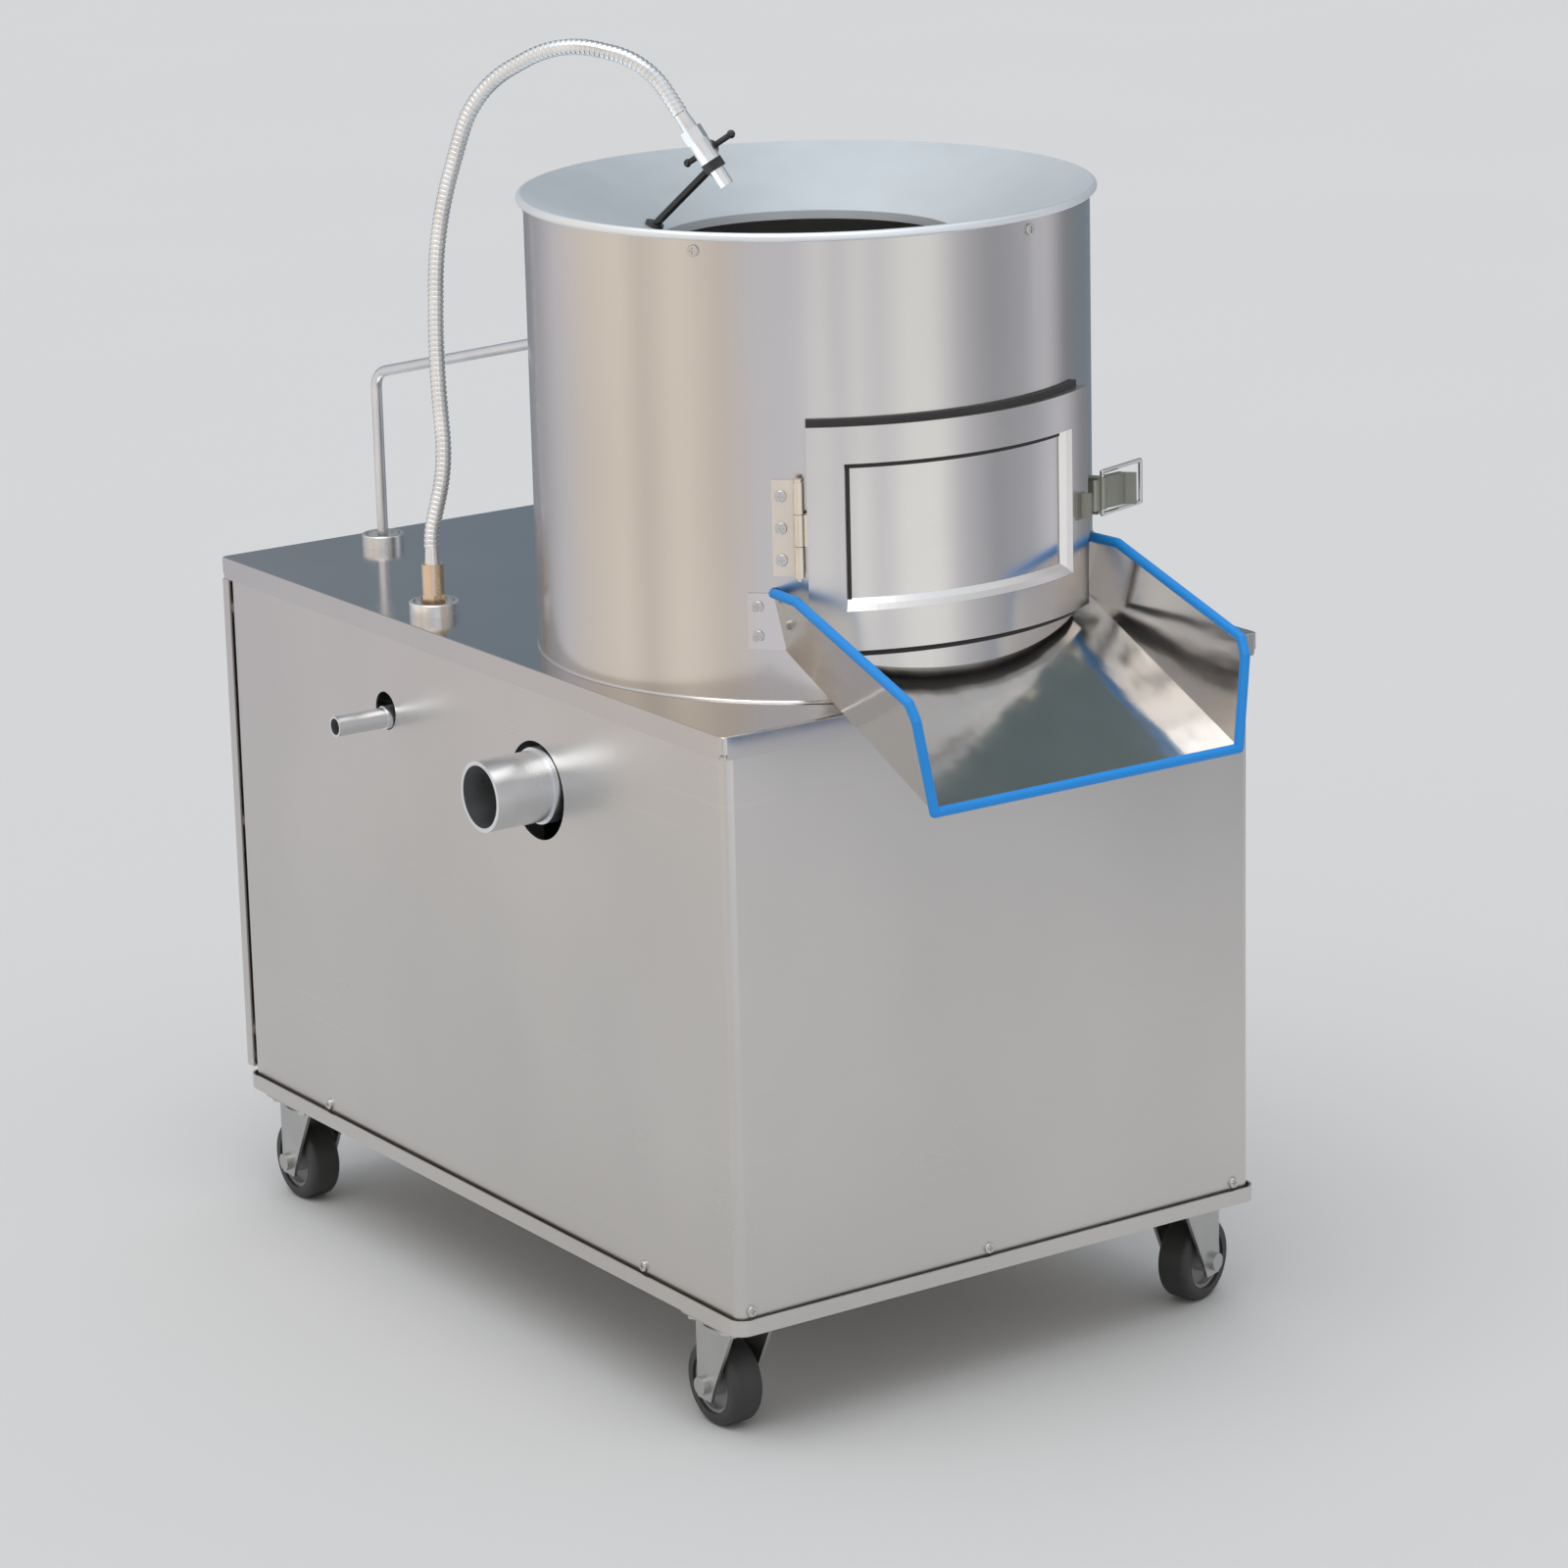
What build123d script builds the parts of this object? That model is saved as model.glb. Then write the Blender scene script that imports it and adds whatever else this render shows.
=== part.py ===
"""Potato peeling machine on casters: a drum with a spinning abrasive disc stands on a belt-driven cabinet.

Millimetres and degrees. Pieces are drawn about the cabinet's centre line at floor level: +X is the operator's
right, -Y the front with the door and chute, +Z up. At the end everything is moved so that the origin lies on
the floor under the middle of the machine's overall width and length.
"""
from build123d import *

import os
from math import acos, atan2, cos, degrees, pi, radians, sin, sqrt, tan

os.makedirs("parts", exist_ok=True)

# Cabinet
cabinet_width = 440
cabinet_length = 670
cabinet_base_height = 86
deck_height = 504
panel_sheet = 1.5
panel_bend_radius = 7
panel_front_return = 12
panel_rear_flange = 25
hem_gap = 2.5
hem_sheet = 1.5
deck_skirt_drop = 16
deck_edge_radius = 1.2
deck_corner_notch = 4
tray_lip_height = 11
angle_leg = 25
angle_thickness = 3
fit_gap = 0.5
overrun = 5

# Rear cover
cover_side_inset = 1
cover_foot_gap = 14
cover_head_gap = 19
cover_depth = 9
cover_stand_off = 12
spacer_radius = 6
slot_count = 7
slot_length = 150
slot_width = 6
slot_pitch = 16
slot_row_share = 0.6

# Small screws and hex bolts
screw_radius = 2
screw_head_radius = 4
screw_head_height = 2
screw_head_round = 0.8
screw_recess_half_length = 2.2
screw_recess_width = 0.9
screw_recess_depth = 0.9
panel_screw_height = 16
side_screw_shares = (-0.65, 0.65)
front_screw_shares = (-0.985, -0.055, 0.96)
cover_screw_inset = 25
bolt_radius = 3
bolt_head_radius = 5.5
bolt_head_height = 4

# Drum and funnel: the rim is 820 above the floor
drum_height = 316
drum_side_gap = 26
drum_offset_x = -14
drum_front_inset = 2
drum_sheet = 1.5
pan_inset = 10
pan_depth = 44
drum_floor_sheet = 2
rim_overhang = 5
rim_bead_radius = 3
funnel_sheet = 1.5
funnel_hole_radius = 103
funnel_fall = 35
funnel_lip = 6
funnel_skirt = 12
rim_screw_drop = 13
rim_screw_count = 5
rim_screw_heading = -75
lining_thickness = 3.5
lining_headroom = 50

# Peeling disc, shaft and seal
disc_gap = 7
disc_rise = 18
disc_thickness = 7
ridge_height = 10
ridge_radius = 60
ridge_start = 34
ridge_end_inset = 10
ridge_count = 4
shaft_radius = 12.5
shaft_end_drop = 21
hub_radius = 30
hub_height = 22
cap_radius = 20
cap_edge_height = 6
cap_height = 12
cap_top_radius = 14
running_gap = 0.05
seal_radius = 20
seal_height = 9
seal_collar = 24
seal_collar_wall = 2.5

# Bearing carrier and its beams
bearing_outer_radius = 26
bearing_width = 15
housing_radius = 35
housing_length = 168
housing_shoulder = 3
housing_flange_radius = 56
housing_flange_thickness = 9
carrier_half_width = 64
carrier_plate_thickness = 6
carrier_bolt_inset = 12
beam_width = 30
beam_wall = 2.5
beam_offset = 95

# Belt drive
motor_rear_gap = 170
belt_rise = 61
driven_pitch_radius = 100
motor_pitch_radius = 35
belt_top_width = 13
belt_thickness = 8
belt_proud = 3
belt_side_angle = 17
groove_extra_depth = 2
pulley_width = 22
pulley_rim_proud = 1.5
pulley_rim_thickness = 9
pulley_web_thickness = 8
driven_hub_radius = 26
driven_hub_height = 34
driven_window_radius = 14
driven_window_count = 4
motor_hub_radius = 17.5
motor_hub_height = 26

# Motor, its bracket and rails
motor_shaft_radius = 9.5
motor_shaft_depth = 40
motor_plate_rise = 29
bracket_sheet = 5
bracket_half_width = 118
bracket_half_length = 78
bracket_foot = 28
motor_pilot_radius = 45
motor_flange_radius = 80
motor_flange_thickness = 8
motor_radius = 67
motor_length = 150
motor_fin_count = 24
motor_fin_height = 4
motor_fin_width = 3
motor_bolt_circle = 73
motor_bolt_count = 4
fan_cover_length = 42
fan_cover_wall = 1.5
fan_slot_count = 12
fan_slot_width = 5
fan_slot_start = 20
fan_slot_end = 50
terminal_box_size = 60
terminal_box_depth = 34
capacitor_radius = 19
capacitor_length = 82
capacitor_strap = 20
rail_width = 34
rail_height = 20
rail_wall = 2
rail_offset = 50

# Drain
drain_radius = 25
drain_wall = 3
drain_neck = 1
drain_offset_y = 39
drain_reach = 45
drain_hole_radius = 35
drain_hole_drop = 5
drain_hole_shift = 5
drain_bend_radius = 36
drain_clearance = 8
drain_ring_radius = 27
drain_ring_length = 14

# Water inlet and the header behind the left panel
inlet_radius = 7.5
inlet_wall = 1.5
inlet_drop = 77
inlet_offset = 22.5
inlet_reach = 40
inlet_hole_radius = 14
inlet_hole_rise = 4
inlet_hole_shift = 3
inlet_ring_radius = 8.5
inlet_ring_length = 10
header_radius = 7
header_wall = 1.5

# Spray pipe from the deck to the drum wall
spray_side_inset = 111
spray_rear_inset = 41
spray_radius = 4
spray_wall = 1
spray_bend_radius = 14
spray_bend_rise = 132
spray_rise = 62
spray_collar_radius = 16
spray_nut_radius = 8
spray_nut_length = 7

# Deck collars
collar_height = 9
collar_wall = 3
collar_floor = 2
collar_round = 1

# Gooseneck hose, routed in one upright plane from the deck towards a place in the drum: each point has its
# share of the distance to that place and its share of the drum's height
gooseneck_side_inset = 29
gooseneck_offset = 224
gooseneck_collar_radius = 18
ferrule_radius = 8
ferrule_height = 36
ferrule_nut_radius = 9
ferrule_nut_height = 12
hose_radius = 5.6
hose_root_radius = 4.9
hose_bore_radius = 3.4
hose_pitch = 3.6
hose_crest_share = 0.5
hose_flank_count = 3
hose_end_length = 12
hose_arc_share = 0.45
hose_toward_x = -43
hose_toward_y = 55
hose_route_shares = [(0, 0.1835), (0.0603, 0.3418), (0.0417, 0.5886), (0.0603, 0.8829), (0.2114, 1.1924),
                     (0.5128, 1.3016), (0.8017, 1.2595), (0.9413, 1.1139)]

# Tap at the hose's end, its lever and its rod
tap_nut_radius = 8
tap_nut_length = 10
tap_body_radius = 7.5
tap_body_length = 16
tap_spout_radius = 5.5
tap_spout_length = 20
tap_stem_radius = 3
tap_stem_length = 7
tap_lever_half_length = 19
tap_lever_tip_radius = 3
tap_lever_gap = 1.2
tap_lever_hub_radius = 6
tap_lever_thickness = 5
tap_lever_arm_radius = 2.1
rod_radius = 2.8
rod_foot_heading = 128
rod_foot_inset = 8
rod_foot_radius = 6.5
rod_foot_thickness = 2.5
rod_clamp_wall = 2.2
rod_clamp_width = 7

# Discharge door
door_heading = -92
door_half_angle = 33.5
door_rise = 37
door_height = 151.5
door_depth = 8
door_sheet = 1.5
door_side_border = 25
door_low_border = 27
door_high_border = 25
seal_thickness = 2.7
contact_gap = 0.3
seal_width = 12
seal_overlap = 3.5
opening_inset = 14

# Hinge
hinge_rise = 50
hinge_length = 65
hinge_barrel_radius = 3.5
hinge_stand_off = 8
hinge_side_gap = 5.5
hinge_leaf_thickness = 1.6
hinge_leaf_reach = 18
hinge_screw_reach = 12
hinge_knuckle_count = 3
hinge_knuckle_gap = 0.4
hinge_screw_count = 3
hinge_pin_radius = 1.6
hinge_pin_head_radius = 2.7
hinge_pin_head_height = 2

# Latch: base and lever on the drum, keeper on the door
latch_heading = -52.5
latch_rise = 108
latch_pin_rise = 8
latch_pin_radius = 1.8
latch_half_width = 11
latch_ear_thickness = 1.5
latch_ear_half_length = 4
latch_plate_half_length = 9
latch_plate_down = 30
latch_plate_up = 28
latch_plate_thickness = 2
latch_barrel_radius = 4
latch_boss_radius = 3.2
latch_lever_length = 30
latch_lever_thickness = 2.5
latch_lever_flange = 5
latch_lever_tip = 8
latch_lever_tip_angle = 55
latch_rest_angle = 60
latch_closed_angle = 90
bail_offset = 8
bail_wire_radius = 1.5
bail_length = 46
bail_rest_angle = 160
bail_closed_angle = 8
bail_pin_depth = 3
keeper_height = 8
keeper_thickness = 2
keeper_half_width = 9
keeper_foot = 6
keeper_foot_thickness = 1

# Chute
chute_width_share = 0.65
chute_flare = 11
chute_reach = 122
chute_lip_drop = 38
chute_front_height = 60
chute_front_lean = 5
chute_corner_cut = 11
chute_shoulder_share = 0.892
chute_shoulder_rise = 75
chute_slope_angle = 24.5
chute_sheet = 1.5
chute_tab_width = 26
chute_tab_height = 38
chute_tab_lap = 12
chute_tab_screw_inset = 9
edging_radius = 3.4

# Casters: trail heading of each, seen from above, zero along +X
caster_side_inset = 26
caster_end_inset = 45
caster_plate_half = 27.5
caster_plate_thickness = 3
caster_plate_round = 4
caster_pad_margin = 6
caster_trail = 14
caster_bolt_inset = 8
caster_headroom = 25
wheel_width = 25
tyre_depth = 9
tread_round = 5
wheel_boss_radius = 9
wheel_boss_proud = 1.2
wheel_web_half = 5
wheel_rim_wall = 2.5
axle_radius = 4
axle_head_radius = 6.5
axle_head_height = 4
fork_gap = 2.5
fork_plate = 2.5
fork_cap_radius = 22
fork_arm_drop = 10.5
fork_arm_front = 12
fork_arm_rear = 8
raceway_radius = 20
raceway_height = 5
raceway_gap = 0.4
kingpin_radius = 5
kingpin_head_radius = 8
kingpin_head_height = 3
caster_trail_headings = {"front_left": 90, "rear_left": 90, "front_right": 20, "rear_right": 70}

# Switch box and cable gland on the right side
switch_rear_inset = 165
switch_drop = 99
switch_half_length = 38
switch_half_height = 55
switch_depth = 40
switch_wall = 2
switch_corner = 5
switch_cover_thickness = 2.5
button_radius = 11
button_proud = 8
button_edge_radius = 1.6
button_stem_radius = 6
button_stem_length = 20
button_spacing = 44
bezel_radius = 14
bezel_height = 3
gland_rear_inset = 73
gland_rise = 64
gland_radius = 11
gland_nut_length = 8
gland_dome_radius = 8
gland_dome_length = 12
gland_dome_round = 3
gland_thread_radius = 6.5
gland_thread_length = 10
gland_bore_radius = 4.5

UPWARD = (Align.CENTER, Align.CENTER, Align.MIN)
CORNER = (Align.MIN, Align.MIN, Align.MIN)

# Levels and edges that several pieces share
half_width = cabinet_width / 2
half_length = cabinet_length / 2
inner_x = half_width - panel_sheet
inner_y = half_length - panel_sheet
hem_proud = hem_gap + hem_sheet
hem_x = half_width + hem_proud
hem_y = half_length + hem_proud
tray_top = cabinet_base_height + hem_sheet
tray_lip_top = cabinet_base_height + tray_lip_height
frame_floor = tray_top + angle_thickness
frame_top = tray_top + angle_leg
deck_under = deck_height - hem_sheet
deck_skirt_low = deck_height - deck_skirt_drop
panel_seam_y = panel_front_return - half_length
cover_back = half_length + cover_stand_off
cover_half_width = half_width - cover_side_inset
cover_low = cabinet_base_height + cover_foot_gap
cover_high = deck_height - cover_head_gap
slot_row_height = cover_low + slot_row_share * (cover_high - cover_low)
rim_height = deck_height + drum_height
drum_radius = half_width - drum_side_gap
drum_x = drum_offset_x
drum_y = drum_radius + drum_front_inset - hem_y
drum_inner = drum_radius - drum_sheet
drum_top = rim_height - 2 * rim_bead_radius
bead_centre_radius = drum_radius + rim_overhang - rim_bead_radius
funnel_run = bead_centre_radius - funnel_hole_radius
pan_radius = drum_radius - pan_inset
drum_floor_height = deck_height - pan_depth
pan_under = drum_floor_height - drum_floor_sheet
plate_under = pan_under - carrier_plate_thickness
beam_low = plate_under - beam_width
beam_rows = (drum_y - beam_offset, drum_y + beam_offset)
disc_radius = drum_inner - lining_thickness - disc_gap
disc_height = deck_height + disc_rise
disc_top = disc_height + disc_thickness
housing_low = pan_under - housing_length
belt_middle_height = cabinet_base_height + belt_rise
shaft_low = belt_middle_height - shaft_end_drop
motor_plate_height = belt_middle_height + motor_plate_rise
motor_x = drum_x
motor_y = half_length - motor_rear_gap
motor_distance = motor_y - drum_y
motor_top = motor_plate_height + motor_flange_thickness + motor_length
collar_seat = deck_height + collar_floor
gooseneck_x = gooseneck_side_inset - half_width
gooseneck_y = drum_y + gooseneck_offset
spray_x = spray_side_inset - half_width
spray_y = half_length - spray_rear_inset
spray_bend_height = deck_height + spray_bend_rise
drain_y = drum_y + drain_offset_y
drain_height = pan_under - drain_bend_radius - drain_neck
inlet_y = gooseneck_y + inlet_offset
inlet_height = deck_height - inlet_drop
door_low = deck_height + door_rise
door_high = door_low + door_height
hinge_low = door_low + hinge_rise
hinge_high = hinge_low + hinge_length
latch_height = deck_height + latch_rise
latch_plate_low = latch_height - latch_plate_down
latch_plate_high = latch_height + latch_plate_up
chute_half_width = drum_radius * chute_width_share
chute_lip_y = -half_length - chute_reach
chute_lip_height = deck_height - chute_lip_drop
chute_shoulder_y = drum_y - drum_radius * chute_shoulder_share
chute_shoulder_height = deck_height + chute_shoulder_rise
switch_y = half_length - switch_rear_inset
switch_height = deck_height - switch_drop
gland_y = half_length - gland_rear_inset
gland_height = cabinet_base_height + gland_rise
caster_x = half_width - caster_side_inset
caster_y = half_length - caster_end_inset
wheel_radius = (cabinet_base_height - caster_headroom) / 2
fork_arm_low = wheel_radius - fork_arm_drop


def block(x_low, x_high, y_low, y_high, z_low, z_high):
    """A box between two corners."""
    return Pos(x_low, y_low, z_low) * Box(x_high - x_low, y_high - y_low, z_high - z_low, align=CORNER)


def rounded_block(half_x, half_y, z_low, z_high, radius):
    """A box about the cabinet's centre line with round upright edges."""
    solid = block(-half_x, half_x, -half_y, half_y, z_low, z_high)
    return fillet(solid.edges().filter_by(Axis.Z), radius)


def post(x, y, z_low, z_high, radius):
    """An upright round bar."""
    return Pos(x, y, z_low) * Cylinder(radius, z_high - z_low, align=UPWARD)


def tube(x, y, z_low, z_high, outer, inner):
    """An upright round tube."""
    return post(x, y, z_low, z_high, outer) - post(x, y, z_low - overrun, z_high + overrun, inner)


def bar(start, end, radius):
    """A round bar between two points."""
    run = Vector(*end) - Vector(*start)
    return Plane(origin=start, z_dir=run) * Cylinder(radius, run.length, align=UPWARD)


def ball(centre, radius):
    """A ball, mostly to round the joint of two bars."""
    return Pos(*centre) * Sphere(radius)


def fuse(shapes):
    """One shape from many."""
    first, *rest = shapes
    return first.fuse(*rest) if rest else first


def turned(outline):
    """A turned piece round the Z axis, from its half outline as radius and height."""
    points = [(radius, 0, z) for radius, z in outline]
    return revolve(make_face(Polyline(*points, close=True)), Axis.Z)


def on_drum(radius, heading, z):
    """The point at a radius and a heading round the drum's axis."""
    return (drum_x + radius * cos(radians(heading)), drum_y + radius * sin(radians(heading)), z)


def turn_for(length, radius):
    """The change of heading that covers a length of arc."""
    return degrees(length / radius)


def sector(r_low, r_high, z_low, z_high, heading_low, heading_high):
    """A piece of curved wall round the drum's axis, between two headings."""
    middle = Pos((r_low + r_high) / 2, (z_low + z_high) / 2)
    section = Plane.XZ * middle * Rectangle(r_high - r_low, z_high - z_low)
    wall = revolve(section, Axis.Z, heading_high - heading_low)
    return Pos(drum_x, drum_y, 0) * Rot(0, 0, heading_low) * wall


def drum_core(radius):
    """The round space inside a radius of the drum, above the deck."""
    return post(drum_x, drum_y, deck_under, rim_height + overrun, radius)


def screw(place, outward, grip):
    """A cross-recessed screw: its head sits on a face at the place, its shank goes back by the grip."""
    outward = Vector(*outward).normalized()
    at = Vector(*place)
    top = tuple(at + outward * screw_head_height)
    head = bar(tuple(at), top, screw_head_radius)
    head = fillet(head.faces().sort_by_distance(top)[0].edges(), screw_head_round)
    for turn in (0, 90):
        slot = Box(2 * screw_recess_half_length, screw_recess_width, 2 * screw_recess_depth)
        head -= Plane(origin=top, z_dir=outward) * Rot(0, 0, turn) * slot
    return head + bar(tuple(at - outward * grip), tuple(at), screw_radius)


def hex_bolt(place, outward, grip):
    """A hex bolt: its head sits on a face at the place and its shank goes back by the grip."""
    outward = Vector(*outward)
    at = Vector(*place)
    head = Plane(origin=at, z_dir=outward) * extrude(RegularPolygon(bolt_head_radius, 6), bolt_head_height)
    return head + bar(tuple(at - outward * grip), tuple(at), bolt_radius)


def group(pieces):
    """Separate solids that share one node."""
    return Compound([solid for piece in pieces for solid in piece.solids()])


# Small screws

def panel_screws():
    z = cabinet_base_height + panel_screw_height
    grip = panel_sheet + angle_thickness
    sides = [((side * half_width, share * half_length, z), (side, 0, 0))
             for side in (-1, 1) for share in side_screw_shares]
    flat = half_width - panel_bend_radius
    front = [((share * flat, -half_length, z), (0, -1, 0)) for share in front_screw_shares]
    return [screw(place, outward, grip) for place, outward in sides + front]


def cover_screw_points():
    x = cover_half_width - angle_leg / 2
    heights = (cover_low + cover_screw_inset, (cover_low + cover_high) / 2, cover_high - cover_screw_inset)
    return [(side * x, z) for side in (-1, 1) for z in heights]


def cover_screws():
    grip = cover_stand_off + panel_sheet + angle_thickness
    return [screw((x, cover_back, z), (0, 1, 0), grip) for x, z in cover_screw_points()]


def wall_screw(radius, heading, z, behind):
    """A screw from a radius through the drum's wall, and on through a sheet behind it."""
    outward = (cos(radians(heading)), sin(radians(heading)), 0)
    return screw(on_drum(radius, heading, z), outward, radius - drum_inner + behind)


def rim_screws():
    z = rim_height - rim_screw_drop
    headings = [rim_screw_heading + step * 360 / rim_screw_count for step in range(rim_screw_count)]
    return [wall_screw(drum_radius, heading, z, funnel_sheet) for heading in headings]


def hinge_screws():
    heading = hinge_heading - turn_for(hinge_screw_reach, drum_radius)
    pitch = (hinge_high - hinge_low) / hinge_screw_count
    heights = [hinge_low + (step + 1 / 2) * pitch for step in range(hinge_screw_count)]
    return [wall_screw(drum_radius + hinge_leaf_thickness, heading, z, 0) for z in heights]


def chute_screws():
    low = chute_shoulder_height - chute_tab_height + chute_tab_screw_inset
    high = chute_shoulder_height - chute_tab_screw_inset
    beside = turn_for((chute_tab_width - chute_tab_lap) / 2, drum_radius)
    headings = [-90 + side * (chute_wall_angle + beside) for side in (-1, 1)]
    return [wall_screw(drum_radius + chute_sheet, heading, z, 0) for heading in headings for z in (low, high)]


# Cabinet

def base_frame():
    """Bottom tray with its upright lip, the angle ring inside it and a pad over each caster."""
    tray = rounded_block(hem_x, hem_y, cabinet_base_height, tray_lip_top, panel_bend_radius + hem_proud)
    tray -= rounded_block(hem_x - hem_sheet, hem_y - hem_sheet, tray_top, tray_lip_top + overrun,
                          panel_bend_radius + hem_gap)
    ring = rounded_block(inner_x, inner_y, tray_top, frame_top, panel_bend_radius)
    x, y = inner_x - angle_thickness, inner_y - angle_thickness
    ring -= block(-x, x, -y, y, frame_floor, frame_top + overrun)
    x, y = inner_x - angle_leg, inner_y - angle_leg
    ring -= block(-x, x, -y, y, tray_top, frame_top + overrun)
    inside = rounded_block(inner_x, inner_y, tray_top, frame_top, panel_bend_radius)
    reach = 2 * (caster_plate_half + caster_pad_margin)
    pads = []
    for name in caster_trail_headings:
        x, y = caster_place(name)
        pads.append(inside & (Pos(x, y, tray_top) * Box(reach, reach, angle_thickness, align=UPWARD)))
    return fuse([tray, ring] + pads)


def corner_posts():
    x_in, y_in = inner_x - angle_leg, inner_y - angle_leg
    x, y = inner_x - angle_thickness, inner_y - angle_thickness
    outer = rounded_block(inner_x, inner_y, frame_top, deck_under, panel_bend_radius)
    corner = outer & block(x_in, inner_x, y_in, inner_y, frame_top, deck_under)
    corner -= block(x_in - overrun, x, y_in - overrun, y, frame_top - overrun, deck_under + overrun)
    pair = [corner, corner.mirror(Plane.YZ)]
    return pair + [piece.mirror(Plane.XZ) for piece in pair]


def drum_beams():
    beams = []
    for y in beam_rows:
        low, high = y - beam_width / 2, y + beam_width / 2
        beam = block(-inner_x, inner_x, low, high, beam_low, plate_under)
        beam -= block(-inner_x - overrun, inner_x + overrun, low + beam_wall, high - beam_wall,
                      beam_low + beam_wall, plate_under - beam_wall)
        beams.append(beam)
    return beams


def beam_posts():
    posts = []
    for y in beam_rows:
        low, high = y - beam_width / 2, y + beam_width / 2
        web = block(inner_x - angle_thickness, inner_x, low, high, frame_top, beam_low)
        angle = web + block(inner_x - angle_leg, inner_x, low, low + angle_thickness, frame_top, beam_low)
        posts += [angle, angle.mirror(Plane.YZ)]
    return posts


def motor_rails():
    rails = []
    x = inner_x - angle_thickness
    for side in (-1, 1):
        y = motor_y + side * rail_offset
        low, high = y - rail_width / 2, y + rail_width / 2
        rail = block(-x, x, low, high, frame_floor, frame_floor + rail_height)
        rail -= block(-x - overrun, x + overrun, low + rail_wall, high - rail_wall,
                      frame_floor + rail_wall, frame_floor + rail_height - rail_wall)
        rails.append(rail)
    return rails


def cut_from_shell(x_low, x_high, y_low, y_high):
    """A part of the round-cornered shell that the three side sheets make together."""
    shell = rounded_block(half_width, half_length, tray_top, deck_under, panel_bend_radius)
    low, high = tray_top - overrun, deck_under + overrun
    shell -= rounded_block(inner_x, inner_y, low, high, panel_bend_radius - panel_sheet)
    return shell & block(x_low, x_high, y_low, y_high, tray_top, deck_under)


def front_panel():
    """The front sheet, bent back at both sides to meet the side panels."""
    return cut_from_shell(-half_width, half_width, -half_length, panel_seam_y)


def side_panel():
    """The right side sheet from the front panel's bend to the back, with a flange turned in behind."""
    return cut_from_shell(half_width - panel_rear_flange, half_width, panel_seam_y, half_length)


def left_panel():
    """The left side sheet, with round holes for the two pipes."""
    sheet = side_panel().mirror(Plane.YZ)
    x_out, x_in = -half_width - overrun, -inner_x + overrun
    y, z = drain_y + drain_hole_shift, drain_height - drain_hole_drop
    sheet -= bar((x_out, y, z), (x_in, y, z), drain_hole_radius)
    y, z = inlet_y + inlet_hole_shift, inlet_height + inlet_hole_rise
    return sheet - bar((x_out, y, z), (x_in, y, z), inlet_hole_radius)


def right_panel():
    """The right side sheet, with the hole for the cable gland."""
    gland_from, gland_to = inner_x - overrun, half_width + overrun
    return side_panel() - bar((gland_from, gland_y, gland_height), (gland_to, gland_y, gland_height),
                              gland_thread_radius + fit_gap)


def rear_cover():
    """A shallow pan that stands off the cabinet on spacers, with cooling slots."""
    x, low, high, t = cover_half_width, cover_low, cover_high, panel_sheet
    front = cover_back - cover_depth
    cover = block(-x, x, front, cover_back, low, high)
    cover -= block(-x + t, x - t, front - overrun, cover_back - t, low + t, high - t)
    for point_x, z in cover_screw_points():
        cover += bar((point_x, half_length, z), (point_x, cover_back - t, z), spacer_radius)
    for row in range(slot_count):
        z = slot_row_height + (row - (slot_count - 1) / 2) * slot_pitch
        cover -= block(-slot_length / 2, slot_length / 2, front, cover_back + overrun, z - slot_width / 2,
                       z + slot_width / 2)
    return cover


def deck_plate():
    plate = rounded_block(hem_x, hem_y, deck_skirt_low, deck_height, hem_proud)
    plate = fillet(plate.faces().sort_by(Axis.Z)[-1].edges(), deck_edge_radius)
    low = deck_skirt_low - overrun
    plate -= rounded_block(hem_x - hem_sheet, hem_y - hem_sheet, low, deck_under, hem_gap)
    notch = deck_corner_notch
    corner = block(hem_x - notch, hem_x + overrun, hem_y - notch, hem_y + overrun, low,
                   deck_skirt_low + notch)
    corners = [corner, corner.mirror(Plane.YZ)]
    plate -= fuse(corners + [piece.mirror(Plane.XZ) for piece in corners])
    plate -= post(drum_x, drum_y, deck_under - overrun, deck_height + overrun, pan_radius + fit_gap)
    for x, y in ((gooseneck_x, gooseneck_y), (spray_x, spray_y)):
        plate -= post(x, y, deck_under - overrun, deck_height + overrun, header_radius + contact_gap)
    return plate


# Drum, lining and funnel

door_inner_radius = drum_radius + contact_gap + seal_thickness
door_outer_radius = door_inner_radius + door_depth
opening_half_angle = door_half_angle - turn_for(opening_inset, drum_radius)
lining_low = deck_height + drum_sheet + fit_gap
lining_high = rim_height - funnel_fall - lining_headroom


def door_passage(r_low, r_high):
    """The space that potatoes leave by, through the wall and the lining."""
    return sector(r_low, r_high, door_low + opening_inset, door_high - opening_inset,
                  door_heading - opening_half_angle, door_heading + opening_half_angle)


def drum_wall():
    """The upright wall, with its openings for the door and the spray pipe."""
    wall = tube(drum_x, drum_y, deck_height, drum_top, drum_radius, drum_inner)
    wall -= door_passage(drum_inner - overrun, drum_radius + overrun)
    return wall - spray_hole(spray_radius)


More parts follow.
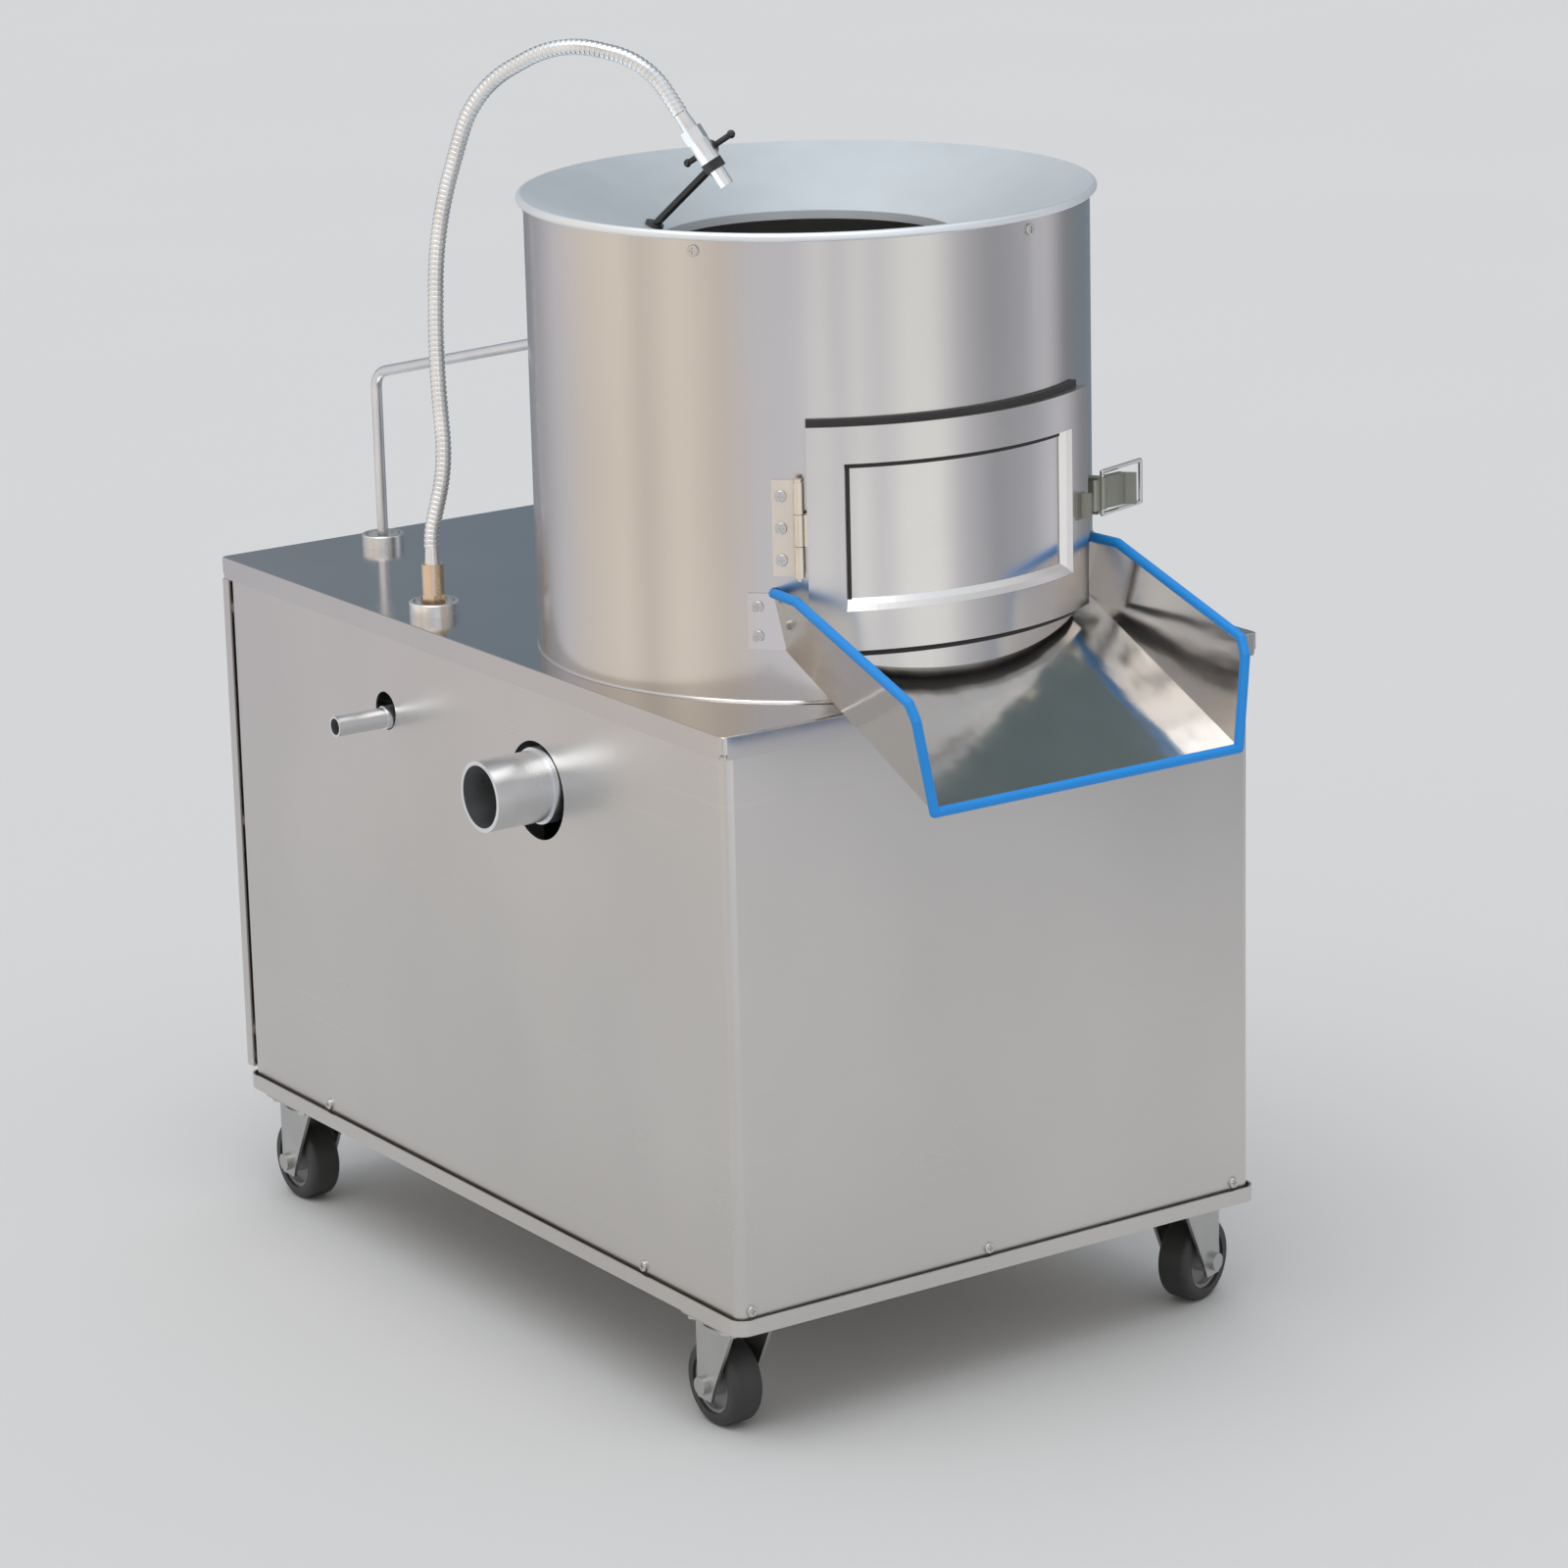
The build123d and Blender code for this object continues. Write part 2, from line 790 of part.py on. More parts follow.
def drum_pan():
    """The pan that hangs through the deck from a ring in the wall's foot, with a collar round the shaft."""
    collar_top = drum_floor_height + seal_collar
    ring_top = deck_height + drum_sheet
    ring = tube(drum_x, drum_y, deck_height, ring_top, drum_inner, pan_radius - drum_sheet)
    pan = tube(drum_x, drum_y, pan_under, ring_top, pan_radius, pan_radius - drum_sheet)
    floor = post(drum_x, drum_y, pan_under, drum_floor_height, pan_radius)
    collar = post(drum_x, drum_y, pan_under, collar_top, seal_radius + seal_collar_wall)
    pan = fuse([ring, pan, floor, collar])
    pan -= post(drum_x, drum_y, pan_under - overrun, collar_top + overrun, seal_radius)
    drain_bore = drain_radius - drain_wall
    return pan - post(drain_drop_x, drain_y, pan_under - overrun, drum_floor_height + overrun, drain_bore)


def abrasive_lining():
    inner = drum_inner - lining_thickness
    lining = tube(drum_x, drum_y, lining_low, lining_high, drum_inner, inner)
    lining -= door_passage(inner - overrun, drum_radius)
    return lining - spray_hole(spray_radius + fit_gap)


def feed_funnel():
    """A sloping ring from the rolled rim down to the feed hole, with a skirt inside the drum's wall."""
    bead_r = bead_centre_radius
    bead_z = rim_height - rim_bead_radius
    slope = funnel_fall / funnel_run
    hole_z = rim_height - funnel_fall
    lip_r = funnel_hole_radius + funnel_sheet
    skirt_in = drum_inner - funnel_sheet
    skirt_low = drum_top - funnel_skirt

    def under(radius):
        return hole_z + (radius - funnel_hole_radius) * slope - funnel_sheet

    sheet = Polyline((bead_r, 0, drum_top), (drum_inner, 0, drum_top), (drum_inner, 0, skirt_low),
                     (skirt_in, 0, skirt_low), (skirt_in, 0, under(skirt_in)), (lip_r, 0, under(lip_r)),
                     (lip_r, 0, hole_z - funnel_lip), (funnel_hole_radius, 0, hole_z - funnel_lip),
                     (funnel_hole_radius, 0, hole_z), (bead_r, 0, rim_height))
    outermost = (bead_r + rim_bead_radius, 0, bead_z)
    bead = ThreePointArc((bead_r, 0, rim_height), outermost, (bead_r, 0, drum_top))
    return Pos(drum_x, drum_y, 0) * revolve(make_face(sheet.edges() + bead.edges()), Axis.Z)


# Rotor: disc, cap, shaft and driven pulley

def peeling_disc():
    """Disc with rounded ridges that throw the potatoes about, and its hub."""
    disc = Cylinder(disc_radius, disc_thickness, align=UPWARD)
    limit = Cylinder(disc_radius - ridge_end_inset, disc_thickness + ridge_height, align=UPWARD)
    limit -= Cylinder(ridge_start, disc_thickness + ridge_height, align=UPWARD)
    centre = Pos(0, 0, disc_thickness + ridge_height - ridge_radius)
    ridge = limit & (centre * Rot(0, 90, 0) * Cylinder(ridge_radius, disc_radius, align=UPWARD))
    ridges = [Rot(0, 0, step * 360 / ridge_count) * ridge for step in range(ridge_count)]
    hub = Pos(0, 0, -hub_height) * Cylinder(hub_radius, hub_height, align=UPWARD)
    disc = fuse([disc, hub] + ridges)
    bore_length = hub_height + disc_thickness + 2 * overrun
    disc -= Pos(0, 0, -hub_height - overrun) * Cylinder(shaft_radius, bore_length, align=UPWARD)
    return Pos(drum_x, drum_y, disc_height) * disc


def disc_cap():
    outline = [(0, disc_top), (cap_radius, disc_top), (cap_radius, disc_top + cap_edge_height),
               (cap_top_radius, disc_top + cap_height), (0, disc_top + cap_height)]
    return Pos(drum_x, drum_y, 0) * turned(outline)


def main_shaft():
    return post(drum_x, drum_y, shaft_low, disc_top, shaft_radius)


def belt_half_width(proud):
    """Half the belt's width at a distance outside its pitch line."""
    return belt_top_width / 2 - (belt_proud - proud) * tan(radians(belt_side_angle))


def pulley(pitch_radius, hub_r, hub_z, bore):
    """A grooved pulley round the Z axis, its groove at zero height."""
    rim_top = belt_proud + pulley_rim_proud
    groove = belt_proud - belt_thickness - groove_extra_depth
    half = pulley_width / 2
    wide, narrow = belt_half_width(rim_top) + fit_gap, belt_half_width(groove) + fit_gap
    outer, bottom = pitch_radius + rim_top, pitch_radius + groove
    inner = max(bottom - pulley_rim_thickness, hub_r)
    rim = turned([(inner, -half), (outer, -half), (outer, -wide), (bottom, -narrow), (bottom, narrow),
                  (outer, wide), (outer, half), (inner, half)])
    hub = Pos(0, 0, -hub_z / 2) * Cylinder(hub_r, hub_z, align=UPWARD)
    web = Pos(0, 0, -pulley_web_thickness / 2) * Cylinder(inner + fit_gap, pulley_web_thickness, align=UPWARD)
    return fuse([rim, hub, web]) - Pos(0, 0, -hub_z) * Cylinder(bore, 2 * hub_z, align=UPWARD)


def driven_pulley():
    wheel = pulley(driven_pitch_radius, driven_hub_radius, driven_hub_height, shaft_radius)
    middle = (driven_pitch_radius - belt_thickness - pulley_rim_thickness + driven_hub_radius) / 2
    window = Pos(middle, 0, -pulley_width) * Cylinder(driven_window_radius, 2 * pulley_width, align=UPWARD)
    windows = [Rot(0, 0, step * 360 / driven_window_count) * window for step in range(driven_window_count)]
    return Pos(drum_x, drum_y, belt_middle_height) * (wheel - fuse(windows))


def motor_pulley():
    wheel = pulley(motor_pitch_radius, motor_hub_radius, motor_hub_height, motor_shaft_radius)
    return Pos(motor_x, motor_y, belt_middle_height) * wheel


def v_belt():
    """A stretch round each pulley and two straight runs between them."""
    low, high = belt_proud - belt_thickness, belt_proud
    narrow, wide = belt_half_width(low), belt_half_width(high)
    wrap = degrees(acos((driven_pitch_radius - motor_pitch_radius) / motor_distance))
    run = sqrt(motor_distance ** 2 - (driven_pitch_radius - motor_pitch_radius) ** 2)

    def stretch(pitch_radius, start, angle):
        inner, outer = pitch_radius + low, pitch_radius + high
        outline = [(inner, 0, -narrow), (outer, 0, -wide), (outer, 0, wide), (inner, 0, narrow)]
        return Rot(0, 0, start) * revolve(make_face(Polyline(*outline, close=True)), Axis.Z, angle)

    pieces = [stretch(driven_pitch_radius, wrap, 360 - 2 * wrap),
              Pos(motor_distance, 0, 0) * stretch(motor_pitch_radius, -wrap, 2 * wrap)]
    section = make_face(Polyline((low, -narrow), (high, -wide), (high, wide), (low, narrow), close=True))
    for side in (-1, 1):
        outward = Vector(cos(radians(wrap)), side * sin(radians(wrap)), 0)
        along = Vector(sin(radians(wrap)), -side * cos(radians(wrap)), 0)
        across = Plane(origin=outward * driven_pitch_radius, x_dir=outward, z_dir=along)
        pieces.append(extrude(across * section, run))
    return Pos(drum_x, drum_y, belt_middle_height) * Rot(0, 0, 90) * fuse(pieces)


def shaft_seal():
    z_high = drum_floor_height + seal_collar
    return tube(drum_x, drum_y, z_high - seal_height, z_high, seal_radius, shaft_radius + running_gap)


# Bearing carrier

def bearing_carrier():
    """Plate across the two beams with the bearing housing under it."""
    reach = beam_offset + beam_width / 2
    plate = block(drum_x - carrier_half_width, drum_x + carrier_half_width, drum_y - reach, drum_y + reach,
                  plate_under, pan_under)
    housing = post(drum_x, drum_y, housing_low, plate_under, housing_radius)
    flange = post(drum_x, drum_y, plate_under - housing_flange_thickness, plate_under, housing_flange_radius)
    carrier = fuse([plate, housing, flange])
    bore = bearing_outer_radius - housing_shoulder
    carrier -= post(drum_x, drum_y, housing_low - overrun, pan_under + overrun, bore)
    carrier -= post(drum_x, drum_y, housing_low - overrun, housing_low + bearing_width, bearing_outer_radius)
    seat = pan_under - bearing_width
    return carrier - post(drum_x, drum_y, seat, pan_under + overrun, bearing_outer_radius)


def main_bearings():
    lows = (housing_low, pan_under - bearing_width)
    bore = shaft_radius + running_gap
    return [tube(drum_x, drum_y, z, z + bearing_width, bearing_outer_radius, bore) for z in lows]


def carrier_bolts():
    x = carrier_half_width - carrier_bolt_inset
    grip = pan_under - beam_low
    places = [(drum_x + side * x, y, beam_low) for side in (-1, 1) for y in beam_rows]
    return [hex_bolt(place, (0, 0, -1), grip) for place in places]


# Motor

def motor_bracket():
    """A channel with feet on the rails, open towards the drum for the belt."""
    foot_low, top, t = frame_floor + rail_height, motor_plate_height, bracket_sheet
    y_low, y_high = motor_y - bracket_half_length, motor_y + bracket_half_length
    x_low, x_high = motor_x - bracket_half_width, motor_x + bracket_half_width
    bracket = block(x_low, x_high, y_low, y_high, foot_low, top)
    bracket -= block(x_low + t, x_high - t, y_low - overrun, y_high + overrun, foot_low - overrun, top - t)
    bracket += block(x_low - bracket_foot, x_low + t, y_low, y_high, foot_low, foot_low + t)
    bracket += block(x_high - t, x_high + bracket_foot, y_low, y_high, foot_low, foot_low + t)
    return bracket - post(motor_x, motor_y, top - t - overrun, top + overrun, motor_pilot_radius)


def motor_bolts():
    top, around = motor_plate_height + motor_flange_thickness, motor_bolt_circle
    grip = motor_flange_thickness + bracket_sheet
    angles = [radians((step + 1 / 2) * 360 / motor_bolt_count) for step in range(motor_bolt_count)]
    places = [(motor_x + around * cos(angle), motor_y + around * sin(angle), top) for angle in angles]
    return [hex_bolt(place, (0, 0, 1), grip) for place in places]


def motor_casing():
    """Finned casing on a round flange, bored for the shaft."""
    flange_top = motor_plate_height + motor_flange_thickness
    core = post(motor_x, motor_y, motor_plate_height, motor_top, motor_radius - motor_fin_height)
    flange = post(motor_x, motor_y, motor_plate_height, flange_top, motor_flange_radius)
    half = motor_fin_width / 2
    fin = block(motor_pilot_radius, motor_radius, -half, half, flange_top, motor_top)
    turns = [(step + 1 / 2) * 360 / motor_fin_count for step in range(motor_fin_count)]
    casing = fuse([core, flange] + [Pos(motor_x, motor_y, 0) * Rot(0, 0, turn) * fin for turn in turns])
    low, high = motor_plate_height - overrun, motor_plate_height + motor_shaft_depth
    return casing - post(motor_x, motor_y, low, high, motor_shaft_radius + running_gap)


def terminal_box():
    half = terminal_box_size / 2
    middle = motor_top - motor_length / 2
    box = block(motor_x, motor_x + motor_radius + terminal_box_depth, motor_y - half, motor_y + half,
                middle - half, middle + half)
    return box - post(motor_x, motor_y, motor_plate_height, motor_top, motor_radius)


def capacitor():
    x = motor_x - motor_radius - capacitor_radius
    middle = motor_top - motor_length / 2
    half = capacitor_strap / 2
    can = post(x, motor_y, middle - capacitor_length / 2, middle + capacitor_length / 2, capacitor_radius)
    strap = block(x, motor_x, motor_y - half, motor_y + half, middle - half, middle + half)
    return can + strap - post(motor_x, motor_y, motor_plate_height, motor_top, motor_radius)


def motor_shaft():
    low = belt_middle_height - motor_hub_height / 2 - fit_gap
    return post(motor_x, motor_y, low, motor_plate_height + motor_shaft_depth - fit_gap, motor_shaft_radius)


def fan_cover():
    top = motor_top + fan_cover_length
    cover = post(motor_x, motor_y, motor_top, top, motor_radius)
    cover = fillet(cover.faces().sort_by(Axis.Z)[-1].edges(), motor_fin_height)
    inner, half = motor_radius - motor_fin_height, fan_slot_width / 2
    cover -= post(motor_x, motor_y, motor_top - overrun, top - fan_cover_wall, inner)
    slot = block(fan_slot_start, fan_slot_end, -half, half, top - overrun, top + overrun)
    turns = [step * 360 / fan_slot_count for step in range(fan_slot_count)]
    return cover - fuse([Pos(motor_x, motor_y, 0) * Rot(0, 0, turn) * slot for turn in turns])


# Drain and water

drain_drop_x = drum_x - carrier_half_width - drain_radius - drain_clearance
drain_end_x = -hem_x - drain_reach


def drain_pipe():
    """From the drum's floor down, round a bend and out through the left panel, with a ring for the hose."""
    path = FilletPolyline((drain_drop_x, drain_y, pan_under), (drain_drop_x, drain_y, drain_height),
                          (drain_end_x, drain_y, drain_height), radius=drain_bend_radius)
    start = Plane(origin=path @ 0, z_dir=path % 0)
    ring_from, ring_to = (-hem_x, drain_y, drain_height), (drain_ring_length - hem_x, drain_y, drain_height)
    outer = sweep(start * Circle(drain_radius), path) + bar(ring_from, ring_to, drain_ring_radius)
    return outer - sweep(start * Circle(drain_radius - drain_wall), path)


def water_pipe():
    """Inlet stub with its ring, header behind the left panel, and a riser to each deck collar."""
    z = inlet_height
    near, far, turn = (gooseneck_x, gooseneck_y, z), (gooseneck_x, spray_y, z), (spray_x, spray_y, z)
    tee, join = (gooseneck_x, inlet_y, z), (gooseneck_x - header_radius, inlet_y, z)
    risers = [(gooseneck_x, gooseneck_y), (spray_x, spray_y)]

    def network(radius, stub_radius, extra):
        pieces = [bar((-hem_x - inlet_reach - extra, inlet_y, z), join, stub_radius), bar(join, tee, radius)]
        pieces += [bar(near, far, radius), bar(far, turn, radius)]
        pieces += [bar((x, y, z), (x, y, deck_height + extra), radius) for x, y in risers]
        return fuse(pieces + [ball(point, radius) for point in (near, far, turn)])

    ring = bar((-hem_x, inlet_y, z), (inlet_ring_length - hem_x, inlet_y, z), inlet_ring_radius)
    bore = network(header_radius - header_wall, inlet_radius - inlet_wall, overrun)
    return network(header_radius, inlet_radius, 0) + ring - bore


def deck_collar(x, y, radius, bore):
    """A shallow turned cup on the deck, over the riser's end."""
    top = deck_height + collar_height
    cup = post(x, y, deck_height, top, radius)
    cup = fillet(cup.faces().sort_by(Axis.Z)[-1].edges(), collar_round)
    cup -= post(x, y, collar_seat, top + overrun, radius - collar_wall)
    return cup - post(x, y, deck_height - overrun, top, bore)


spray_plan = Vector(drum_x - spray_x, drum_y - spray_y, 0)
spray_reach = spray_plan.length - drum_radius


def spray_point(past_wall):
    """The point on the spray pipe's upper run at a plan distance past the drum's outer face."""
    share = (spray_reach + past_wall) / spray_reach
    rise = Vector(0, 0, spray_bend_height + spray_rise * share)
    return tuple(Vector(spray_x, spray_y, 0) + spray_plan.normalized() * (spray_reach * share) + rise)


def spray_hole(radius):
    """The hole that the spray pipe goes through in the wall and the lining."""
    return bar(spray_point(-2 * overrun), spray_point(2 * overrun), radius)


def spray_pipe():
    """Riser, bend and sloping run into the drum, with the nut that seats it on the wall."""
    path = FilletPolyline((spray_x, spray_y, collar_seat), (spray_x, spray_y, spray_bend_height),
                          spray_point(drum_sheet + lining_thickness), radius=spray_bend_radius)
    start = Plane(origin=path @ 0, z_dir=path % 0)
    outer = sweep(start * Circle(spray_radius), path)
    nut_from, nut_to = Vector(*spray_point(-spray_nut_length)), Vector(*spray_point(overrun))
    nut_run = nut_to - nut_from
    nut = Plane(origin=nut_from, z_dir=nut_run) * extrude(RegularPolygon(spray_nut_radius, 6), nut_run.length)
    return outer + (nut - drum_core(drum_radius)) - sweep(start * Circle(spray_radius - spray_wall), path)


# Gooseneck hose and tap

plane_root = Vector(gooseneck_x, gooseneck_y, 0)
plane_run = Vector(drum_x + hose_toward_x, drum_y + hose_toward_y, 0) - plane_root
plane_along = plane_run.normalized()
plane_normal = Vector(-plane_along.Y, plane_along.X, 0)
hose_points = [plane_root + Vector(0, 0, deck_height + ferrule_height)]
hose_points += [plane_root + plane_run * along + Vector(0, 0, deck_height + drum_height * rise)
                for along, rise in hose_route_shares]
tap_start = hose_points[-1]
tap_axis = (hose_points[-1] - hose_points[-2]).normalized()
tap_across = tap_axis.cross(plane_normal).normalized()
tap_body_end = tap_nut_length + tap_body_length
tap_spout_end = tap_body_end + tap_spout_length
tap_middle = tap_start + tap_axis * (tap_nut_length + tap_body_length / 2)


def hose_path():
    """Straight runs joined by arcs as large as the runs allow."""
    radii = []
    for before, here, after in zip(hose_points, hose_points[1:], hose_points[2:]):
        turn = radians((here - before).get_angle(after - here))
        radii.append(hose_arc_share * min((here - before).length, (after - here).length) / tan(turn / 2))
    print("gooseneck arc radii", [round(radius) for radius in radii])
    return FilletPolyline(*hose_points, radius=radii)


def gooseneck_hose():
    """A ribbed hose with a plain end at each fitting: four circles to a rib, joined by straight flanks."""
    path = hose_path()
    length = path.length
    count = int((length - 2 * hose_end_length) / hose_pitch)
    pitch = (length - 2 * hose_end_length) / count
    crest = pitch * hose_crest_share
    flank = (pitch - crest) / hose_flank_count

    def section(distance, radius):
        at = distance / length
        return (Plane(origin=path @ at, x_dir=plane_normal, z_dir=path % at) * Circle(radius)).face()

    sections = [section(0, hose_radius)]
    for rib in range(count):
        start = hose_end_length + rib * pitch
        top = start + flank
        sections += [section(start, hose_root_radius), section(top, hose_radius),
                     section(top + crest, hose_radius), section(top + crest + flank, hose_root_radius)]
    sections.append(section(length, hose_radius))
    hose = loft(sections, ruled=True) - sweep(section(0, hose_bore_radius), path)
    plain = pi * (hose_radius ** 2 - hose_bore_radius ** 2) * length
    print("gooseneck length", round(length), "ribs", count, "of a plain tube", round(hose.volume / plain, 3))
    return hose


def hose_ferrule():
    top = deck_height + ferrule_height
    nut = extrude(RegularPolygon(ferrule_nut_radius, 6), ferrule_nut_height)
    body = Pos(gooseneck_x, gooseneck_y, collar_seat) * nut
    body += post(gooseneck_x, gooseneck_y, collar_seat, top, ferrule_radius)
    return body - post(gooseneck_x, gooseneck_y, deck_height, top + overrun, hose_bore_radius)


def tap_section(start, end, radius):
    """A round bar along the tap's axis, by distance from the hose's end."""
    return bar(tuple(tap_start + tap_axis * start), tuple(tap_start + tap_axis * end), radius)


def tap_body():
    """Nut, round valve body with a stem behind it, and spout, bored through."""
    across = Plane(origin=tap_start, x_dir=plane_normal, z_dir=tap_axis)
    nut = across * extrude(RegularPolygon(tap_nut_radius, 6), tap_nut_length)
    stem_end = tap_middle + plane_normal * (tap_body_radius + tap_stem_length)
    stem = bar(tuple(tap_middle), tuple(stem_end), tap_stem_radius)
    body = tap_section(tap_nut_length, tap_body_end, tap_body_radius)
    spout = tap_section(tap_body_end, tap_spout_end, tap_spout_radius)
    return fuse([nut, body, spout, stem]) - tap_section(-overrun, tap_spout_end + overrun, hose_bore_radius)


def tap_lever():
    """A butterfly handle on the stem."""
    near = tap_middle + plane_normal * (tap_body_radius + tap_lever_gap)
    far = near + plane_normal * tap_lever_thickness
    middle = (near + far) / 2
    tips = [tuple(middle + tap_across * (side * tap_lever_half_length)) for side in (-1, 1)]
    pieces = [bar(tuple(near), tuple(far), tap_lever_hub_radius), bar(*tips, tap_lever_arm_radius)]
    bore_from, bore_to = near - plane_normal * overrun, far + plane_normal * overrun
    bore = bar(tuple(bore_from), tuple(bore_to), tap_stem_radius + running_gap)
    return fuse(pieces + [ball(tip, tap_lever_tip_radius) for tip in tips]) - bore


def tap_rod():
    """The rod that carries the tap from the funnel, with a clamp round the spout and a round foot."""
    foot_z = rim_height - funnel_fall * (1 - rod_foot_inset / funnel_run)
    foot = Vector(*on_drum(funnel_hole_radius + rod_foot_inset, rod_foot_heading, foot_z))
    inward = Vector(-cos(radians(rod_foot_heading)), -sin(radians(rod_foot_heading)), 0)
    normal = (inward * funnel_fall + Vector(0, 0, funnel_run)).normalized()
    sunk, raised = foot - normal * (funnel_sheet / 2), foot + normal * rod_foot_thickness
    top = tap_start + tap_axis * (tap_body_end + rod_clamp_width / 2)
    clamp = tap_section(tap_body_end, tap_body_end + rod_clamp_width, tap_spout_radius + rod_clamp_wall)
    round_foot = bar(tuple(sunk), tuple(raised), rod_foot_radius)
    rod = fuse([round_foot, bar(tuple(foot), tuple(top), rod_radius), clamp])
    return rod - tap_section(tap_nut_length, tap_spout_end, tap_spout_radius)


# Door

def door_sector(r_low, r_high, side, low, high):
    """A piece of the door's curved block, set in from its sides, bottom and top."""
    turn = turn_for(side, door_outer_radius)
    return sector(r_low, r_high, door_low + low, door_high - high, door_heading - door_half_angle + turn,
                  door_heading + door_half_angle - turn)


def door_frame():
    """A pressed frame: outer rim, raised border and the sides of the recess."""
    t = door_sheet
    side, low, high = door_side_border, door_low_border, door_high_border
    frame = door_sector(door_inner_radius, door_outer_radius, 0, 0, 0)
    hollow = door_sector(door_inner_radius - overrun, door_outer_radius - t, t, t, t)
    recess = door_sector(door_inner_radius + t, door_outer_radius + overrun, side - t, low - t, high - t)
    window = door_sector(door_inner_radius - overrun, door_outer_radius + overrun, side, low, high)
    return frame - (hollow - recess) - window


def door_panel():
    t = door_sheet
    return door_sector(door_inner_radius, door_inner_radius + t, t, t, t)


def door_seal():
    low, high = drum_radius + contact_gap, door_inner_radius
    ring = door_sector(low, high, 0, -seal_overlap, -seal_overlap)
    return ring - door_sector(low - overrun, high + overrun, seal_width, seal_width, seal_width)


# Hinge

hinge_radius = drum_radius + hinge_stand_off
hinge_heading = door_heading - door_half_angle - turn_for(hinge_side_gap, hinge_radius)
hinge_axis = on_drum(hinge_radius, hinge_heading, hinge_low)
knuckle_height = (hinge_high - hinge_low) / hinge_knuckle_count


def knuckle_levels(step):
    """The ends of one of the hinge's barrels, counted from below."""
    low = hinge_low + step * knuckle_height + hinge_knuckle_gap / 2
    return low, low + knuckle_height - hinge_knuckle_gap


def hinge_leaf_fixed():
    """Leaf on the drum, the outer barrels on their webs, and the pin."""
    x, y = hinge_axis[0], hinge_axis[1]
    start = hinge_heading - turn_for(hinge_leaf_reach, drum_radius)
    web_start = hinge_heading - turn_for(hinge_barrel_radius, hinge_radius)
    web_end = web_start + turn_for(hinge_leaf_thickness, hinge_radius)
    outer = drum_radius + hinge_leaf_thickness
    pieces = [sector(drum_radius, outer, hinge_low, hinge_high, start, hinge_heading)]
    for step in range(0, hinge_knuckle_count, 2):
        low, high = knuckle_levels(step)
        pieces.append(post(x, y, low, high, hinge_barrel_radius))
        pieces.append(sector(drum_radius, hinge_radius, low, high, web_start, web_end))
    pin_low, pin_high = hinge_low - hinge_pin_head_height, hinge_high + hinge_pin_head_height
    pieces.append(post(x, y, pin_low, hinge_high, hinge_pin_radius))
    pieces.append(post(x, y, hinge_high - hinge_knuckle_gap, pin_high, hinge_pin_head_radius))
    return fuse(pieces)


def hinge_leaf_door():
    """The middle barrel with a strap to a plate along the door's side."""
    x, y = hinge_axis[0], hinge_axis[1]
    low, high = knuckle_levels(1)
    side = door_heading - door_half_angle
    half = hinge_leaf_thickness / 2
    plate_start = side - turn_for(hinge_leaf_thickness, door_outer_radius)
    pieces = [sector(door_inner_radius, door_outer_radius, low, high, plate_start, side),
              sector(hinge_radius - half, hinge_radius + half, low, high, hinge_heading, side),
              post(x, y, low, high, hinge_barrel_radius)]
    return fuse(pieces) - post(x, y, hinge_low, hinge_high, hinge_pin_radius + running_gap)


# Latch, drawn about its pin with X along the wall towards the door and Y outward

latch_pin_circle = drum_radius + latch_pin_rise
ear_inner = latch_half_width + contact_gap
ear_outer = ear_inner + latch_ear_thickness
bail_side = ear_outer + fit_gap + bail_wire_radius


def latch_place(shape):
    """From the latch's own frame to its place on the drum."""
    turn = Pos(drum_x, drum_y, latch_height) * Rot(0, 0, latch_heading - 90)
    return turn * Pos(0, latch_pin_circle, 0) * shape


def lever_direction(angle):
    """The lever's direction at an angle from straight outward, away from the door."""
    return Vector(-sin(radians(angle)), cos(radians(angle)), 0)


def bail_direction(angle):
    """The bail's direction at an angle outward from the line towards the door."""
    return Vector(cos(radians(angle)), sin(radians(angle)), 0)


bail_pivot = lever_direction(latch_rest_angle) * bail_offset


def latch_base():
    """Plate on the drum with two ears and the pin through them."""
    turn = turn_for(latch_plate_half_length, drum_radius)
    plate = sector(drum_radius, drum_radius + latch_plate_thickness, latch_plate_low, latch_plate_high,
                   latch_heading - turn, latch_heading + turn)
    half = latch_ear_half_length
    pieces = [block(-half, half, -latch_pin_rise - overrun, half, ear_inner, ear_outer),
              block(-half, half, -latch_pin_rise - overrun, half, -ear_outer, -ear_inner),
              Pos(0, 0, -ear_outer) * Cylinder(latch_pin_radius, 2 * ear_outer, align=UPWARD)]
    return plate + (latch_place(fuse(pieces)) - drum_core(drum_radius))


